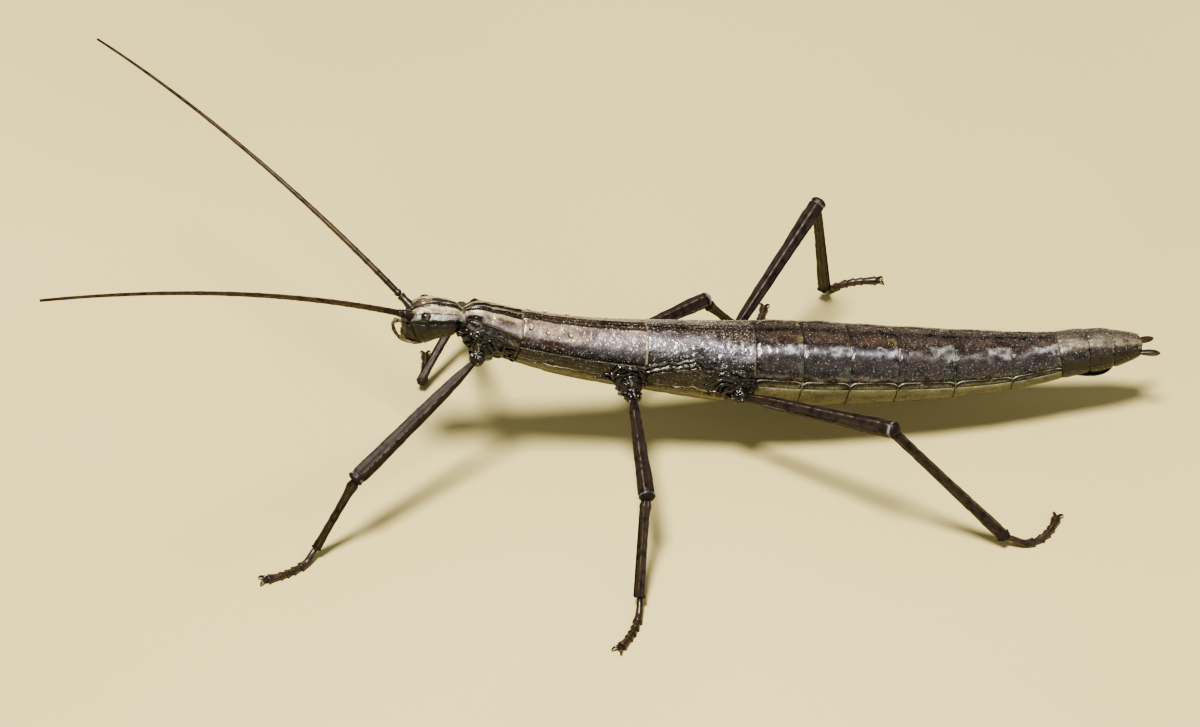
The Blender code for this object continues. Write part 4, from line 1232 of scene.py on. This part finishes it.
def jaw_relief(x, y, z):
    return rises(x + z * 0.6, (-0.08, 0.1, 0.12)) + 0.04 * grain(x * 3 + 4, z * 3, 0.5, 43)


add_mouthpart("lip_plate", (-0.06, 0, 0.02), (0.6, 0.66, 0.72), lip_relief, 60)
add_mouthpart("jaw_left", (0.22, -0.5, 0.06), (0.66, 0.5, 0.78), jaw_relief)
add_mouthpart("jaw_right", (0.22, 0.5, 0.06), (0.66, 0.5, 0.78), jaw_relief)
add_mouthpart("lower_lip", (0.85, 0, -0.02), (0.75, 0.72, 0.62), jaw_relief)


def palp_radius(along, turn, reach, left):
    return (0.13 + 0.05 * along) * capped(reach, 0.06) * capped(left, 0.08)


palp_finish = limb_finish("palp cuticle", (118, 106, 80), (46, 38, 30), (190, 180, 146), 0.34, 3)
PALP_PLACES = {"left": ((1.0, 0.02), (0.8, 0.03), (0.52, 0.06), (0.26, 0.24), (0.1, 0.55),
                        (0.07, 0.88), (0.22, 0.97)),
               "right": ((1.0, 0.02), (0.8, 0.05), (0.5, 0.3), (0.3, 0.62), (0.1, 0.8))}
PALP_JOINTS = {"left": (0.0, 0.16, 0.34, 0.6, 0.8, 1.0), "right": (0.0, 0.3, 0.55, 1.0)}
for side_name, sign in SIDES:
    low, high = box_of("palp_" + side_name)
    out = (low[1] + high[1]) / 2 - sign * 0.05
    route = np.array([(low[0] + (high[0] - low[0]) * x, out, low[2] + (high[2] - low[2]) * z)
                      for x, z in PALP_PLACES[side_name]]) + (0, 0, 0.26)
    route[0] += (0.4, sign * 0.1, 0.2)
    line = hermite(np.linspace(0, len(route) - 1, 80), np.arange(len(route)), route)
    shares = PALP_JOINTS[side_name]
    meshes = [swept("palp_joint", piece_of_line(line, first, last, 7), palp_radius, 30, 16)
              for first, last in zip(shares[:-1], shares[1:])]
    add_piece(joined("palp_joints_" + side_name, meshes), palp_finish,
              ["palp_" + side_name])


# ---- eyes ----
# Small compound eyes of mottled brown glossy facets, a little longer than high and over half
# sunk in the head.
EYE_SIZE = (0.49, 0.39, 0.4)
eye_finish, tree, shader = start_finish("eye facets", 0.22, 0.0, 0.3)
facets = add_node(tree, "TexVoronoi", {"Vector": add_node(tree, "TexCoord")["Object"],
                                       "Scale": 24000.0}, feature='DISTANCE_TO_EDGE')[0]
colour = ramp(noise_of(tree, 3400), ((0.35, shade(16, 14, 13)), (0.5, shade(40, 33, 29)),
                                     (0.6, shade(78, 62, 50)), (0.7, shade(118, 108, 96))))
lines = ramp(facets, ((0.0, shade(30, 28, 27)), (0.12, WHITE)))
join_finish(shader, mix(0.6, colour, lines, 'MULTIPLY'), facets, 0.5, 0.012)
for side_name, sign in SIDES:
    heart = on_body(np.array([EYE_STATION]), sign * EYE_ANGLE, 0.02)[0]

    def round_eye(bm):
        bmesh.ops.create_icosphere(bm, subdivisions=5, radius=MM)
        bmesh.ops.scale(bm, verts=bm.verts, vec=EYE_SIZE)
        bmesh.ops.translate(bm, verts=bm.verts, vec=Vector(heart) * MM)

    add_piece(shaped(bpy.data.meshes.new("eye_ball_" + side_name), round_eye), eye_finish,
              ["eye_" + side_name])


# ---- floor ----
# A plain floor of smooth pale card for her to stand on: one flat square that reaches well
# past the edges of the view, and is no part of the insect.
FLOOR_REACH = 1.5       # metres from its middle to each edge


def lay_floor(bm):
    bmesh.ops.create_grid(bm, x_segments=1, y_segments=1, size=FLOOR_REACH)


floor_finish, tree, shader = start_finish("pale floor", 0.85)
join_finish(shader, ramp(noise_of(tree, 12, 2.0), ((0.3, shade(191, 179, 128)),
                                                   (0.7, shade(200, 188, 138)))))
floor = bpy.data.objects.new("floor", shaped(bpy.data.meshes.new("floor"), lay_floor, False))
floor.data.materials.append(floor_finish)
bpy.context.scene.collection.objects.link(floor)


# ---- camera ----
# Looks down on her left side from above the floor, square to her length but a little from
# the head's side.
CAMERA_AIM = (-3.592, -1.171, 9.8)
CAMERA_ELEVATION, CAMERA_TURN = math.radians(40), math.radians(-6.5)
CAMERA_DISTANCE = 214.0
CAMERA_LENS, CAMERA_SENSOR = 73.57, 36
NEAREST_SEEN = 0.005    # metres, as the lens stands close to so small a thing


def stand(name, data, place, turn):
    """The camera or a lamp set at a place and turned."""
    made = bpy.data.objects.new(name, data)
    bpy.context.scene.collection.objects.link(made)
    made.location = place
    made.rotation_mode = 'QUATERNION'
    made.rotation_quaternion = turn
    return made


camera = bpy.data.cameras.new("camera")
camera.lens, camera.sensor_width, camera.clip_start = CAMERA_LENS, CAMERA_SENSOR, NEAREST_SEEN
away = Vector((math.sin(CAMERA_TURN) * math.cos(CAMERA_ELEVATION),
               -math.cos(CAMERA_TURN) * math.cos(CAMERA_ELEVATION), math.sin(CAMERA_ELEVATION)))
rightward = Vector((math.cos(CAMERA_TURN), math.sin(CAMERA_TURN), 0))
axes = Matrix((rightward, away.cross(rightward), away)).transposed()
bpy.context.scene.camera = stand(
    "camera", camera, (Vector(CAMERA_AIM) + away * CAMERA_DISTANCE) * MM, axes.to_quaternion())


# ---- studio light ----
# A fairly small lamp almost overhead, a broad weak one from the camera's side, and an even
# pale surround.
LIT_PLACE = Vector((0, 0, 0.008))
SURROUND, SURROUND_LIGHT = (1, 0.98, 0.94, 1), 0.3
for name, towards, distance, size, power, tint in (
        ("key light", (-0.165, -0.25, 0.95), 0.5, 0.12, 4.3, (1, 0.97, 0.9)),
        ("fill light", (0.5, -0.8, 0.5), 0.6, 0.5, 0.6, (0.95, 0.97, 1))):
    lamp = bpy.data.lights.new(name, 'AREA')
    lamp.shape = 'DISK'
    lamp.size, lamp.energy, lamp.color = size, power, tint
    towards = Vector(towards)
    stand(name, lamp, LIT_PLACE + towards.normalized() * distance,
          towards.to_track_quat('Z', 'Y'))
world = bpy.data.worlds.new("studio")
world.use_nodes = True
surround = world.node_tree.nodes["Background"].inputs
surround[0].default_value, surround[1].default_value = SURROUND, SURROUND_LIGHT
bpy.context.scene.world = world
bpy.context.scene.view_settings.look = "AgX - High Contrast"
